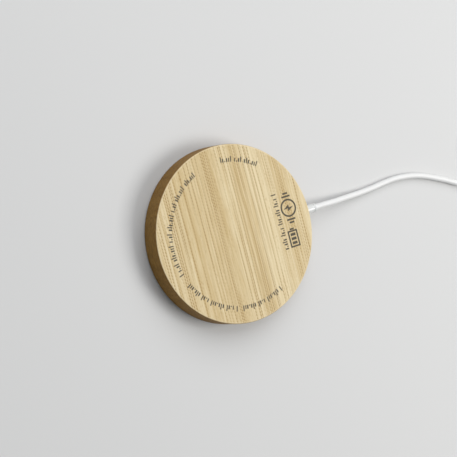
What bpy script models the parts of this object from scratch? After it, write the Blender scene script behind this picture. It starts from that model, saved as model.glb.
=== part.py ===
"""Magnetic wireless charging pad in a turned bamboo case, with its cord stored in a small coil.

The pad stands on its charging side: the origin is on that plane, on the pad's axis, +Z points
out of the bamboo back, and the cord leaves the side wall towards +X.
"""

import math

import bmesh
import bpy
from mathutils import Matrix, Vector

MM = 0.001

# Gaps between pieces
GAP = 0.3 * MM  # between pieces that rest on each other
BOND = 0.1 * MM  # a glue, tape or solder line inside the pad
CUT_MARGIN = 1.0 * MM  # how far a cutting shape stands out of what it cuts

# Roundness
CASE_STEPS = 72
INNER_STEPS = 48
SMALL_STEPS = 12
MAGNET_STEPS = 4
YOKE_STEPS = 56
ROUTE_STEPS = 40  # fine steps between two points of a route
SMOOTH_ANGLE = math.radians(35)

# Bamboo case
CASE_RADIUS = 30.0 * MM
CASE_BASE = 0.3 * MM
CASE_TOP = 8.5 * MM
BACK_THICKNESS = 1.6 * MM
WALL_THICKNESS = 2.7 * MM
MOUTH_STEP = 1.1 * MM
TOP_BREAK = 0.5 * MM
BOTTOM_BREAK = 0.3 * MM
CAVITY_RADIUS = CASE_RADIUS - WALL_THICKNESS
CAVITY_TOP = CASE_TOP - BACK_THICKNESS
MOUTH_RADIUS = CAVITY_RADIUS + MOUTH_STEP
CORD_HEIGHT = 4.3 * MM

# Charging side
COVER_RADIUS = MOUTH_RADIUS - GAP
COVER_TOP = 1.5 * MM
COVER_BREAK = 0.2 * MM
GRIP_INNER = 22.0 * MM
GRIP_OUTER = 25.0 * MM
GRIP_TOP = 0.7 * MM
GRIP_BREAK = 0.2 * MM
TAPE_INNER = CAVITY_RADIUS + 0.2 * MM
TAPE_THICKNESS = 0.2 * MM
TAPE_BASE = COVER_TOP + BOND
LEDGE_HEIGHT = TAPE_BASE + TAPE_THICKNESS + BOND

# Coil and its shield
WIRE_RADIUS = 0.5 * MM
COIL_HEIGHT = 2.25 * MM
COIL_INNER = 10.3 * MM
COIL_OUTER = 21.0 * MM
COIL_TURNS = 9
POINTS_PER_TURN = 20
FERRITE_BASE = 2.9 * MM
FERRITE_THICKNESS = 0.8 * MM
FERRITE_RADIUS = 22.0 * MM
CENTRE_HOLE = 3.5 * MM
SPIRAL_START = 2  # the spiral's first point after the inner lead
# Inner lead of the coil, from above the shield to the spiral: x, y, height, in mm
INNER_LEAD = (
    (2.0, 0.0, 4.6),
    (2.0, 0.0, 3.25),
    (2.5, 0.0, 2.45),
    (3.4, 0.0, 2.25),
    (8.6, 0.0, 2.25),
    (10.0, 0.6, 2.25),
)
# Outer lead, up beside the shield and over the board: distance out, distance sideways, height, in mm
LEAD_ANGLE = math.radians(200)
LEAD_RADIUS = 22.8 * MM
LEAD_SIDE = 4.0 * MM
LEAD_HOLE = 0.9 * MM
OUTER_LEAD = (
    (21.8, 2.2, 2.35),
    (22.6, 3.4, 2.6),
    (22.8, 4.0, 3.3),
    (22.8, 4.0, 5.4),
    (22.2, 4.0, 6.0),
    (21.2, 4.0, 6.25),
    (17.0, 4.0, 6.25),
)

# Temperature sensor in the middle of the coil: a bead as (radius, height) in mm, and its lead
SENSOR_PLACE = Vector((-2.2 * MM, 0.0, 0.0))
SENSOR_PROFILE = ((0.25, 1.7), (0.6, 1.95), (0.7, 2.3), (0.6, 2.65), (0.25, 2.9))
SENSOR_LEAD_RADIUS = 0.3 * MM
SENSOR_LEAD_HEIGHTS = (3.0 * MM, 4.6 * MM)

# Magnet ring, open at the cord
MAGNET_COUNT = 16
MAGNET_INNER = 23.6 * MM
MAGNET_OUTER = 27.0 * MM
MAGNET_BASE = 1.7 * MM
MAGNET_TOP = 3.1 * MM
MAGNET_SPACE = math.radians(1.0)
RING_OPENING = math.radians(20)
YOKE_THICKNESS = 0.5 * MM

# Tray, film and board
TRAY_BASE = 3.8 * MM
TRAY_TOP = 4.4 * MM
TRAY_RADIUS = CAVITY_RADIUS - GAP
TRAY_RIM = 0.8 * MM
TRAY_RIM_TOP = CAVITY_TOP - GAP
TRAY_NOTCH_START = 20.5 * MM
TRAY_NOTCH_WIDTH = 6.4 * MM
TRAY_NOTCH_HEIGHT = 8.0 * MM
FILM_RADIUS = 19.9 * MM
FILM_THICKNESS = 0.2 * MM
BOARD_RADIUS = 19.5 * MM
BOARD_FLAT = 16.0 * MM
BOARD_THICKNESS = 0.8 * MM
FILM_BASE = TRAY_TOP + BOND
BOARD_BASE = FILM_BASE + FILM_THICKNESS + BOND
BOARD_TOP = BOARD_BASE + BOARD_THICKNESS
CHIP_BREAK = 0.12 * MM

# Parts on the board: name, centre x, centre y, length along x, width along y, height, material
BOARD_PARTS = (
    ("controller_chip", 2.0, 0.0, 5.0, 5.0, 0.9, "chip"),
    ("bridge_chip_1", -5.0, 3.2, 3.0, 3.0, 0.9, "chip"),
    ("bridge_chip_2", -5.0, -3.2, 3.0, 3.0, 0.9, "chip"),
    ("regulator_chip", 3.0, -7.5, 3.0, 3.0, 0.8, "chip"),
    ("resonant_capacitor_1", -11.0, -5.7, 3.2, 2.5, 1.0, "capacitor"),
    ("resonant_capacitor_2", -11.0, -1.9, 3.2, 2.5, 1.0, "capacitor"),
    ("resonant_capacitor_3", -11.0, 1.9, 3.2, 2.5, 1.0, "capacitor"),
    ("resonant_capacitor_4", -11.0, 5.7, 3.2, 2.5, 1.0, "capacitor"),
    ("input_capacitor_1", 9.0, 4.5, 3.2, 1.6, 1.0, "capacitor"),
    ("input_capacitor_2", 9.0, -4.5, 3.2, 1.6, 1.0, "capacitor"),
    ("power_inductor", 3.0, 8.5, 4.0, 4.0, 1.0, "inductor"),
    ("current_sense_resistor", -3.0, -9.5, 3.2, 1.6, 0.6, "chip"),
)

# Strain relief: a turned plug along +X, as (distance along x, radius)
STRAIN_PROFILE = (
    (25.4 * MM, 2.3 * MM),
    (26.9 * MM, 2.3 * MM),
    (26.9 * MM, 1.35 * MM),
    (CASE_RADIUS + GAP, 1.35 * MM),
    (CASE_RADIUS + GAP, 1.72 * MM),
    (34.2 * MM, 1.5 * MM),
    (34.4 * MM, 1.6 * MM),
    (35.0 * MM, 1.6 * MM),
)
CORD_BORE = 1.65 * MM

# The cord's four cores: name, place across the strain relief in mm, material
CORES = (
    ("wire_power", -1.5, "red_wire"),
    ("wire_data_minus", -0.5, "white_wire"),
    ("wire_data_plus", 0.5, "green_wire"),
    ("wire_ground", 1.5, "black_wire"),
)
CORE_RADIUS = 0.3 * MM
CORE_SPACING = 1.4 * MM
CORE_ROUTE = ((25.25, 4.3), (23.0, 4.45), (20.5, 5.2), (18.6, 6.0), (16.0, 6.1), (13.0, 6.1))

# Cord
CORD_RADIUS = 1.0 * MM
CORD_SPACING = 4.5 * MM
CORD_ROUTE = (
    (35.3, 0.0, 4.3),
    (38.0, 0.0, 4.05),
    (41.0, -0.1, 3.6),
    (45.0, -0.2, 3.05),
    (49.5, -0.2, 2.4),
    (54.0, -0.25, 1.75),
    (58.5, -0.15, 1.25),
    (63.0, 0.1, 1.02),
    (67.5, 0.5, 1.02),
    (72.0, 0.75, 1.02),
    (76.5, 0.5, 1.02),
    (81.0, -0.2, 1.02),
    (85.5, -1.5, 1.02),
    (90.0, -3.3, 1.02),
    (94.5, -5.3, 1.02),
    (99.0, -7.5, 1.02),
    (104.0, -9.6, 1.02),
    (110.9, -12.5, 1.02),
)

# Stored coil: turns side by side and on top of each other
COIL_CENTRE = Vector((124.0 * MM, -3.1 * MM, 0.0))
COIL_MEAN_RADIUS = 11.65 * MM
COIL_PITCH = 2.1 * MM
COIL_COLUMNS = 3
COIL_LAYERS = 4
COIL_BASE = 0.7 * MM
COIL_CHAMFER = 0.8 * MM
COIL_HALF_WIDTH = (COIL_COLUMNS - 1) * COIL_PITCH / 2 + CORD_RADIUS
COIL_TOP = COIL_BASE + (COIL_LAYERS - 1) * COIL_PITCH + 2 * CORD_RADIUS
TAIL_ROUTE = (
    (135.4, -14.6, 6.2),
    (138.0, -13.7, 5.5),
    (140.6, -12.3, 4.7),
    (142.8, -10.3, 3.9),
    (144.6, -7.6, 3.3),
    (145.8, -4.6, 3.05),
    (146.0, -2.6, 3.02),
)
TIE_WIDTH = 3.0 * MM
TIE_THICKNESS = 0.4 * MM

# Plug: its axis runs along +Y from the boot's end
PLUG_START = Vector((146.0 * MM, -2.3 * MM, 3.02 * MM))
PLUG_CORNERS = 6  # points on each rounded corner of a section
# Sections of the moulded grip: distance along the plug, width, height, corner radius, in mm
PLUG_SECTIONS = (
    (0.0, 3.2, 3.2, 1.59),
    (4.5, 4.0, 3.9, 1.9),
    (6.0, 6.6, 4.9, 2.2),
    (6.8, 9.2, 5.6, 2.3),
    (8.6, 10.4, 6.0, 2.4),
    (19.0, 10.6, 6.0, 2.4),
    (22.2, 10.2, 5.8, 2.3),
    (22.8, 9.6, 5.2, 2.1),
)
SHELL_WIDTH = 8.34 * MM
SHELL_HEIGHT = 2.56 * MM
SHELL_WALL = 0.3 * MM
SHELL_FLAT = 0.02 * MM  # what its half-round ends lack of a full half circle
SHELL_LENGTH = 6.5 * MM
SHELL_START = 22.8 * MM + GAP
INSERT_SPACE = 0.12 * MM
INSERT_RECESS = 0.6 * MM
SLOT_WIDTH = 6.7 * MM
SLOT_HEIGHT = 0.85 * MM
SLOT_DEPTH = 5.0 * MM

# Materials: colour, roughness, metallic
FINISHES = {
    "bamboo": ((0.66, 0.50, 0.28), 0.55, 0.0),
    "cover_plastic": ((0.85, 0.85, 0.84), 0.45, 0.0),
    "grip_rubber": ((0.55, 0.55, 0.55), 0.8, 0.0),
    "tape": ((0.75, 0.72, 0.60), 0.5, 0.0),
    "tray_plastic": ((0.10, 0.10, 0.11), 0.5, 0.0),
    "copper": ((0.72, 0.36, 0.18), 0.35, 1.0),
    "ferrite": ((0.12, 0.12, 0.13), 0.6, 0.0),
    "magnet": ((0.70, 0.70, 0.68), 0.25, 1.0),
    "yoke_steel": ((0.55, 0.56, 0.57), 0.35, 1.0),
    "film": ((0.65, 0.40, 0.08), 0.3, 0.0),
    "board": ((0.03, 0.22, 0.10), 0.4, 0.0),
    "chip": ((0.03, 0.03, 0.03), 0.5, 0.0),
    "capacitor": ((0.45, 0.32, 0.20), 0.4, 0.0),
    "inductor": ((0.20, 0.20, 0.21), 0.5, 0.0),
    "sensor": ((0.10, 0.06, 0.03), 0.4, 0.0),
    "red_wire": ((0.60, 0.02, 0.02), 0.4, 0.0),
    "white_wire": ((0.80, 0.80, 0.80), 0.4, 0.0),
    "green_wire": ((0.02, 0.35, 0.08), 0.4, 0.0),
    "black_wire": ((0.02, 0.02, 0.02), 0.4, 0.0),
    "strain_plastic": ((0.85, 0.86, 0.86), 0.25, 0.0),
    "cord_jacket": ((0.88, 0.88, 0.88), 0.45, 0.0),
    "plug_plastic": ((0.88, 0.88, 0.88), 0.35, 0.0),
    "plug_steel": ((0.72, 0.72, 0.72), 0.25, 1.0),
    "insert_plastic": ((0.02, 0.02, 0.02), 0.5, 0.0),
    "strap": ((0.82, 0.82, 0.82), 0.85, 0.0),
}


def clear_scene():
    """Start from an empty scene."""
    for old in list(bpy.data.objects):
        bpy.data.objects.remove(old, do_unlink=True)


def finish(name):
    """The named material, made the first time it is asked for."""
    if name in bpy.data.materials:
        return bpy.data.materials[name]
    colour, roughness, metallic = FINISHES[name]
    material = bpy.data.materials.new(name)
    material.use_nodes = True
    shader = material.node_tree.nodes["Principled BSDF"]
    shader.inputs["Base Color"].default_value = (*colour, 1.0)
    shader.inputs["Roughness"].default_value = roughness
    shader.inputs["Metallic"].default_value = metallic
    material.diffuse_color = (*colour, 1.0)
    return material


def add_object(name, data, material):
    """Put a mesh or curve into the scene under its node name."""
    piece = bpy.data.objects.new(name, data)
    bpy.context.scene.collection.objects.link(piece)
    data.materials.append(finish(material))
    return piece


def skin(name, rings, material, looped=False):
    """A closed solid through rings of points: capped at its ends, or joined end to end."""
    mesh_maker = bmesh.new()
    rows = [[mesh_maker.verts.new(point) for point in ring] for ring in rings]
    pairs = list(zip(rows, rows[1:]))
    if looped:
        pairs.append((rows[-1], rows[0]))
    else:
        mesh_maker.faces.new(rows[0])
        mesh_maker.faces.new(rows[-1])
    for near, far in pairs:
        for i in range(len(near)):
            after = (i + 1) % len(near)
            mesh_maker.faces.new((near[i], near[after], far[after], far[i]))
    bmesh.ops.recalc_face_normals(mesh_maker, faces=mesh_maker.faces)
    mesh = bpy.data.meshes.new(name)
    mesh_maker.to_mesh(mesh)
    mesh_maker.free()
    mesh.shade_smooth()
    mesh.set_sharp_from_angle(angle=SMOOTH_ANGLE)
    return add_object(name, mesh, material)


def circle(radius, height, steps):
    """Points round the Z axis."""
    turns = [2 * math.pi * i / steps for i in range(steps)]
    return [Vector((radius * math.cos(a), radius * math.sin(a), height)) for a in turns]


def turned(name, profile, material, steps=INNER_STEPS, holed=False, centre=None):
    """A turned solid about Z through (radius, height) points. A holed one closes on itself."""
    rings = [circle(radius, height, steps) for radius, height in profile]
    if centre is not None:
        rings = [[point + centre for point in ring] for ring in rings]
    return skin(name, rings, material, looped=holed)


def washer(name, inner, outer, base, top, material, steps=INNER_STEPS):
    """A flat ring of rectangular section."""
    profile = ((inner, base), (outer, base), (outer, top), (inner, top))
    return turned(name, profile, material, steps, holed=True)


def arc_block(name, inner, outer, base, top, start, stop, steps, material):
    """Part of a flat ring, from one angle to another."""
    rings = []
    for i in range(steps + 1):
        angle = start + (stop - start) * i / steps
        out = Vector((math.cos(angle), math.sin(angle), 0.0))
        corners = ((inner, base), (outer, base), (outer, top), (inner, top))
        rings.append([out * radius + Vector((0.0, 0.0, height)) for radius, height in corners])
    return skin(name, rings, material)


def box(name, centre, size, material, edge=0.0):
    """A block, with small bevels where edge isn't nothing."""
    mesh_maker = bmesh.new()
    placed = Matrix.Translation(centre) @ Matrix.Diagonal((*size, 1.0))
    bmesh.ops.create_cube(mesh_maker, size=1.0, matrix=placed)
    if edge:
        bmesh.ops.bevel(mesh_maker, geom=mesh_maker.edges, offset=edge, segments=1, affect="EDGES")
    mesh = bpy.data.meshes.new(name)
    mesh_maker.to_mesh(mesh)
    mesh_maker.free()
    return add_object(name, mesh, material)


def smooth_route(route, spacing):
    """Evenly spaced points on a smooth curve through route points given in mm."""
    marks = [Vector(point) * MM for point in route]
    marks = [marks[0] * 2 - marks[1], *marks, marks[-1] * 2 - marks[-2]]
    fine = []
    for a, b, c, d in zip(marks, marks[1:], marks[2:], marks[3:]):
        for i in range(ROUTE_STEPS):
            t = i / ROUTE_STEPS
            swing = (c - a) * t + (2 * a - 5 * b + 4 * c - d) * t**2 + (3 * b - a - 3 * c + d) * t**3
            fine.append(b + swing / 2)
    fine.append(marks[-2])
    travelled = [0.0]
    for before, after in zip(fine, fine[1:]):
        travelled.append(travelled[-1] + (after - before).length)
    count = max(2, round(travelled[-1] / spacing))
    points = []
    step = 0
    for i in range(count + 1):
        wanted = travelled[-1] * i / count
        while step < len(fine) - 2 and travelled[step + 1] < wanted:
            step += 1
        share = (wanted - travelled[step]) / (travelled[step + 1] - travelled[step])
        points.append(fine[step].lerp(fine[step + 1], share))
    return points


def tube(name, points, radius, material, resolution=2):
    """A round wire or cord along points, with filled ends."""
    data = bpy.data.curves.new(name, "CURVE")
    data.dimensions = "3D"
    data.bevel_depth = radius
    data.bevel_resolution = resolution
    data.use_fill_caps = True
    line = data.splines.new("POLY")
    line.points.add(len(points) - 1)
    for mark, point in zip(line.points, points):
        mark.co = (*point, 1.0)
    return add_object(name, data, material)


def hide_cutter(cutter):
    """Keep a cutting shape out of the object."""
    cutter.hide_render = True
    cutter.display_type = "WIRE"


def cut(piece, cutter):
    """Take the cutter's shape out of a piece."""
    hide_cutter(cutter)
    boolean = piece.modifiers.new("cut", "BOOLEAN")
    boolean.operation = "DIFFERENCE"
    boolean.solver = "EXACT"
    boolean.object = cutter


def along_x(rings_profile, height, steps):
    """Rings round a line parallel to X at a height, from (x, radius) points."""
    rings = []
    for x, radius in rings_profile:
        turns = [2 * math.pi * i / steps for i in range(steps)]
        rings.append(
            [Vector((x, radius * math.cos(a), height + radius * math.sin(a))) for a in turns]
        )
    return rings


def make_case():
    """Bamboo back and side wall, hollow from the charging side, with the cord's bore."""
    corner = math.cos(math.radians(45)) * TOP_BREAK
    profile = (
        (CASE_RADIUS - TOP_BREAK, CASE_TOP),
        (CASE_RADIUS - TOP_BREAK + corner, CASE_TOP - TOP_BREAK + corner),
        (CASE_RADIUS, CASE_TOP - TOP_BREAK),
        (CASE_RADIUS, CASE_BASE + BOTTOM_BREAK),
        (CASE_RADIUS - BOTTOM_BREAK, CASE_BASE),
        (MOUTH_RADIUS, CASE_BASE),
        (MOUTH_RADIUS, LEDGE_HEIGHT),
        (CAVITY_RADIUS, LEDGE_HEIGHT),
        (CAVITY_RADIUS, CAVITY_TOP),
    )
    case = turned("bamboo_case", profile, "bamboo", CASE_STEPS)
    bore_ends = (
        (CAVITY_RADIUS - CUT_MARGIN, CORD_BORE),
        (CASE_RADIUS + CUT_MARGIN, CORD_BORE),
    )
    bore = skin("cord_bore_cutter", along_x(bore_ends, CORD_HEIGHT, SMALL_STEPS * 2), "bamboo")
    cut(case, bore)


def make_charging_side():
    """Cover with its grip ring, and the tape that holds it in the case."""
    cover_profile = (
        (COVER_RADIUS, COVER_TOP),
        (COVER_RADIUS, CASE_BASE + COVER_BREAK),
        (COVER_RADIUS - COVER_BREAK, CASE_BASE),
        (GRIP_OUTER + GAP, CASE_BASE),
        (GRIP_OUTER + GAP, GRIP_TOP + GAP),
        (GRIP_INNER - GAP, GRIP_TOP + GAP),
        (GRIP_INNER - GAP, CASE_BASE),
    )
    turned("charging_cover", cover_profile, "cover_plastic", CASE_STEPS)
    grip_profile = (
        (GRIP_INNER, GRIP_TOP),
        (GRIP_INNER, GRIP_BREAK),
        (GRIP_INNER + GRIP_BREAK, 0.0),
        (GRIP_OUTER - GRIP_BREAK, 0.0),
        (GRIP_OUTER, GRIP_BREAK),
        (GRIP_OUTER, GRIP_TOP),
    )
    turned("grip_ring", grip_profile, "grip_rubber", CASE_STEPS, holed=True)
    tape_top = TAPE_BASE + TAPE_THICKNESS
    washer("cover_tape", TAPE_INNER, COVER_RADIUS, TAPE_BASE, tape_top, "tape", CASE_STEPS)


def coil_points():
    """The litz wire's route: inner lead, spiral, outer lead up beside the shield."""
    points = [Vector(point) * MM for point in INNER_LEAD]
    last = round(POINTS_PER_TURN * (COIL_TURNS - 1 + LEAD_ANGLE / (2 * math.pi)))
    rise = (COIL_OUTER - COIL_INNER) / last
    for i in range(SPIRAL_START, last + 1):
        angle = 2 * math.pi * i / POINTS_PER_TURN
        radius = COIL_INNER + rise * i
        points.append(Vector((radius * math.cos(angle), radius * math.sin(angle), COIL_HEIGHT)))
    out = Vector((math.cos(LEAD_ANGLE), math.sin(LEAD_ANGLE), 0.0))
    side = Vector((-out.y, out.x, 0.0))
    for r, s, z in OUTER_LEAD:
        points.append((out * r + side * s + Vector((0.0, 0.0, z))) * MM)
    return points


def make_coil():
    """Transmitter coil, its shield, and the sensor in its middle."""
    tube("transmitter_coil", coil_points(), WIRE_RADIUS, "copper", 1)
    top = FERRITE_BASE + FERRITE_THICKNESS
    washer("ferrite_disc", CENTRE_HOLE, FERRITE_RADIUS, FERRITE_BASE, top, "ferrite")
    profile = [(radius * MM, height * MM) for radius, height in SENSOR_PROFILE]
    turned("coil_thermistor", profile, "sensor", SMALL_STEPS, centre=SENSOR_PLACE)
    ends = [SENSOR_PLACE + Vector((0.0, 0.0, height)) for height in SENSOR_LEAD_HEIGHTS]
    tube("thermistor_lead", ends, SENSOR_LEAD_RADIUS, "white_wire", 1)


def make_magnets():
    """Arc magnets and the steel ring behind them, both open at the cord."""
    span = (2 * math.pi - 2 * RING_OPENING) / MAGNET_COUNT
    for i in range(MAGNET_COUNT):
        start = RING_OPENING + span * i + MAGNET_SPACE / 2
        stop = start + span - MAGNET_SPACE
        name = f"magnet_{i + 1:02d}"
        low, high = MAGNET_BASE, MAGNET_TOP
        arc_block(name, MAGNET_INNER, MAGNET_OUTER, low, high, start, stop, MAGNET_STEPS, "magnet")
    base = MAGNET_TOP + BOND
    top = base + YOKE_THICKNESS
    start = RING_OPENING
    stop = 2 * math.pi - start
    arc_block(
        "magnet_yoke", MAGNET_INNER, MAGNET_OUTER, base, top, start, stop, YOKE_STEPS, "yoke_steel"
    )


def make_tray():
    """Moulded tray with a rim up to the case, open for the cord and for the coil's lead."""
    profile = (
        (CENTRE_HOLE, TRAY_BASE),
        (TRAY_RADIUS, TRAY_BASE),
        (TRAY_RADIUS, TRAY_RIM_TOP),
        (TRAY_RADIUS - TRAY_RIM, TRAY_RIM_TOP),
        (TRAY_RADIUS - TRAY_RIM, TRAY_TOP),
        (CENTRE_HOLE, TRAY_TOP),
    )
    tray = turned("coil_carrier", profile, "tray_plastic", holed=True)
    reach = TRAY_RADIUS + CUT_MARGIN - TRAY_NOTCH_START
    middle = Vector((TRAY_NOTCH_START + reach / 2, 0.0, TRAY_BASE + TRAY_NOTCH_HEIGHT / 2 - CUT_MARGIN))
    size = (reach, TRAY_NOTCH_WIDTH, TRAY_NOTCH_HEIGHT)
    cut(tray, box("tray_notch_cutter", middle, size, "tray_plastic"))
    out = Vector((math.cos(LEAD_ANGLE), math.sin(LEAD_ANGLE), 0.0))
    side = Vector((-out.y, out.x, 0.0))
    hole_at = out * LEAD_RADIUS + side * LEAD_SIDE
    hole_profile = ((LEAD_HOLE, TRAY_BASE - CUT_MARGIN), (LEAD_HOLE, TRAY_TOP + CUT_MARGIN))
    hole = turned("lead_hole_cutter", hole_profile, "tray_plastic", SMALL_STEPS, centre=hole_at)
    cut(tray, hole)


def make_board():
    """Insulating film, circuit board and the parts on it."""
    top = FILM_BASE + FILM_THICKNESS
    washer("insulating_film", CENTRE_HOLE, FILM_RADIUS, FILM_BASE, top, "film")
    start = math.acos(BOARD_FLAT / BOARD_RADIUS)
    stop = 2 * math.pi - start
    turns = [start + (stop - start) * i / INNER_STEPS for i in range(INNER_STEPS + 1)]
    outline = [Vector((math.cos(a), math.sin(a), 0.0)) * BOARD_RADIUS for a in turns]
    rings = [[point + Vector((0.0, 0.0, z)) for point in outline] for z in (BOARD_BASE, BOARD_TOP)]
    skin("circuit_board", rings, "board")
    for name, x, y, length, width, height, material in BOARD_PARTS:
        centre = Vector((x * MM, y * MM, BOARD_TOP + BOND + height * MM / 2))
        box(name, centre, (length * MM, width * MM, height * MM), material, CHIP_BREAK)


def make_strain_relief():
    """Collar outside the wall, neck through its bore and flange inside."""
    rings = along_x(STRAIN_PROFILE, CORD_HEIGHT, SMALL_STEPS * 2)
    skin("strain_relief", rings, "strain_plastic")
    for name, place, material in CORES:
        route = [(x, place, height) for x, height in CORE_ROUTE]
        tube(name, smooth_route(route, CORE_SPACING), CORE_RADIUS, material, 1)


def make_cord():
    """The cord's uncoiled stretch, its stored coil, its tail and the strap round the coil."""
    tube("cord_tube", smooth_route(CORD_ROUTE, CORD_SPACING), CORD_RADIUS, "cord_jacket")
    inner = COIL_MEAN_RADIUS - COIL_HALF_WIDTH
    outer = COIL_MEAN_RADIUS + COIL_HALF_WIDTH
    profile = (
        (inner + COIL_CHAMFER, COIL_BASE),
        (outer - COIL_CHAMFER, COIL_BASE),
        (outer, COIL_BASE + COIL_CHAMFER),
        (outer, COIL_TOP - COIL_CHAMFER),
        (outer - COIL_CHAMFER, COIL_TOP),
        (inner + COIL_CHAMFER, COIL_TOP),
        (inner, COIL_TOP - COIL_CHAMFER),
        (inner, COIL_BASE + COIL_CHAMFER),
    )
    turned("cord_coil", profile, "cord_jacket", holed=True, centre=COIL_CENTRE)
    tube("cord_tail", smooth_route(TAIL_ROUTE, CORD_SPACING / 2), CORD_RADIUS, "cord_jacket")
    make_tie(inner, outer)


def make_tie(inner, outer):
    """A strap wrapped once round the coil's section, on its +Y side."""
    corner = COIL_CHAMFER
    rings = []
    for side in (-TIE_WIDTH / 2, TIE_WIDTH / 2):
        for spread in (GAP, GAP + TIE_THICKNESS):
            low = COIL_BASE - spread
            high = COIL_TOP + spread
            near = inner - spread
            far = outer + spread
            section = (
                (near + corner, low),
                (far - corner, low),
                (far, low + corner),
                (far, high - corner),
                (far - corner, high),
                (near + corner, high),
                (near, high - corner),
                (near, low + corner),
            )
            ring = [COIL_CENTRE + Vector((side, y, z)) for y, z in section]
            rings.append(ring)
    rings = [rings[0], rings[1], rings[3], rings[2]]
    skin("cord_tie", rings, "strap", looped=True)


def rounded_section(width, height, corner, distance):
    """Points round a rounded rectangle across the plug's axis."""
    points = []
    for quarter in range(4):
        turn = quarter * math.pi / 2
        right = 1 if quarter in (0, 3) else -1
        up = 1 if quarter in (0, 1) else -1
        centre_x = right * (width / 2 - corner)
        centre_z = up * (height / 2 - corner)
        for i in range(PLUG_CORNERS):
            angle = turn + math.pi / 2 * i / (PLUG_CORNERS - 1)
            x = centre_x + corner * math.cos(angle)
            z = centre_z + corner * math.sin(angle)
            points.append(PLUG_START + Vector((x, distance, z)))
    return points


def stadium(width, height, distance):
    """A section with almost half-round ends."""
    return rounded_section(width, height, (height - SHELL_FLAT) / 2, distance)


def make_plug():
    """Moulded grip with its boot, metal shell, and the liner inside the shell."""
    rings = []
    for distance, width, height, corner in PLUG_SECTIONS:
        rings.append(rounded_section(width * MM, height * MM, corner * MM, distance * MM))
    skin("plug_body", rings, "plug_plastic")
    back = SHELL_START
    front = SHELL_START + SHELL_LENGTH
    inner_width = SHELL_WIDTH - 2 * SHELL_WALL
    inner_height = SHELL_HEIGHT - 2 * SHELL_WALL
    shell = (
        stadium(SHELL_WIDTH, SHELL_HEIGHT, back),
        stadium(SHELL_WIDTH, SHELL_HEIGHT, front),
        stadium(inner_width, inner_height, front),
        stadium(inner_width, inner_height, back),
    )
    skin("plug_shell", shell, "plug_steel", looped=True)
    liner_width = inner_width - 2 * INSERT_SPACE
    liner_height = inner_height - 2 * INSERT_SPACE
    liner_front = front - INSERT_RECESS
    liner = (
        stadium(liner_width, liner_height, back),
        stadium(liner_width, liner_height, liner_front),
        stadium(SLOT_WIDTH, SLOT_HEIGHT, liner_front),
        stadium(SLOT_WIDTH, SLOT_HEIGHT, liner_front - SLOT_DEPTH),
    )
    skin("plug_insert", liner, "insert_plastic")


clear_scene()
make_case()
make_charging_side()
make_coil()
make_magnets()
make_tray()
make_board()
make_strain_relief()
make_cord()
make_plug()
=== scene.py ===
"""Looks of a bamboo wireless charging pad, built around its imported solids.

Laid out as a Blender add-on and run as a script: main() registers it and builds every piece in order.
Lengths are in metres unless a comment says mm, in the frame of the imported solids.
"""

import math

import bmesh
import bpy
from bpy.props import FloatProperty, FloatVectorProperty, IntProperty, PointerProperty
from bpy.types import Operator, Panel, PropertyGroup
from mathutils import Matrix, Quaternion, Vector


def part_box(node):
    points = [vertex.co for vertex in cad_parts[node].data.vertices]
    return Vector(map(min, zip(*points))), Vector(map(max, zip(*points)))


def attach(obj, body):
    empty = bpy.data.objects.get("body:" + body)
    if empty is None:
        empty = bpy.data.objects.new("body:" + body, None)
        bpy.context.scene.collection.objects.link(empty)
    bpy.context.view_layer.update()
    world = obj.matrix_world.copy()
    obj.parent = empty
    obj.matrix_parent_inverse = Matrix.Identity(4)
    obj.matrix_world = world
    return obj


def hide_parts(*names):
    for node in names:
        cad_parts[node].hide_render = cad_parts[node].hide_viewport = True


bl_info = {
    "name": "Bamboo charging pad",
    "version": (1, 0, 0),
    "blender": (4, 5, 0),
    "location": "3D View > Sidebar > Charging pad",
    "description": "Builds the looks of a bamboo wireless charging pad and its cord",
    "category": "Object",
}

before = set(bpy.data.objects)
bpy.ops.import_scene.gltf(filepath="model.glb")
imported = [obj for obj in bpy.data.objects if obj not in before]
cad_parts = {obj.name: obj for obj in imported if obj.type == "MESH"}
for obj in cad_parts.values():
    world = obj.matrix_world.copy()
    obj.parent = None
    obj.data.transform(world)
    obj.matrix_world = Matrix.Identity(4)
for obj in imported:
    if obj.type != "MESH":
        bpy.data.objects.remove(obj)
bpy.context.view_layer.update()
MM = 0.001
BODY = "root"

CASE_LOW, CASE_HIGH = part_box("bamboo_case")
COVER_LOW, COVER_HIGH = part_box("charging_cover")
RING_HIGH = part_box("grip_ring")[1]
TAPE_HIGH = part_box("cover_tape")[1]
COIL_LOW, COIL_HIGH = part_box("cord_coil")
STRAP_LOW, STRAP_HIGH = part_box("cord_tie")
PLUG_LOW, PLUG_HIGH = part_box("plug_body")
SHELL_LOW, SHELL_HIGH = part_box("plug_shell")
LINER_LOW, LINER_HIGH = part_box("plug_insert")

# Route of the uncoiled cord, from inside the collar to where it joins the stored coil
CORD_ROUTE = (
    (0.0335, 0.0, 0.0043), (0.0353, 0.0, 0.0043), (0.0380, 0.0, 0.00405), (0.0410, -0.0001, 0.0036),
    (0.0450, -0.0002, 0.00305), (0.0495, -0.0002, 0.0024), (0.0540, -0.00025, 0.00175),
    (0.0585, -0.00015, 0.00125), (0.0630, 0.0001, 0.00102), (0.0675, 0.0005, 0.00102),
    (0.0720, 0.00075, 0.00102), (0.0765, 0.0005, 0.00102), (0.0810, -0.0002, 0.00102),
    (0.0855, -0.0015, 0.00102), (0.0900, -0.0033, 0.00102), (0.0945, -0.0053, 0.00102),
    (0.0990, -0.0075, 0.00102), (0.1040, -0.0096, 0.00102), (0.1109, -0.0125, 0.00102),
)
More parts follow.
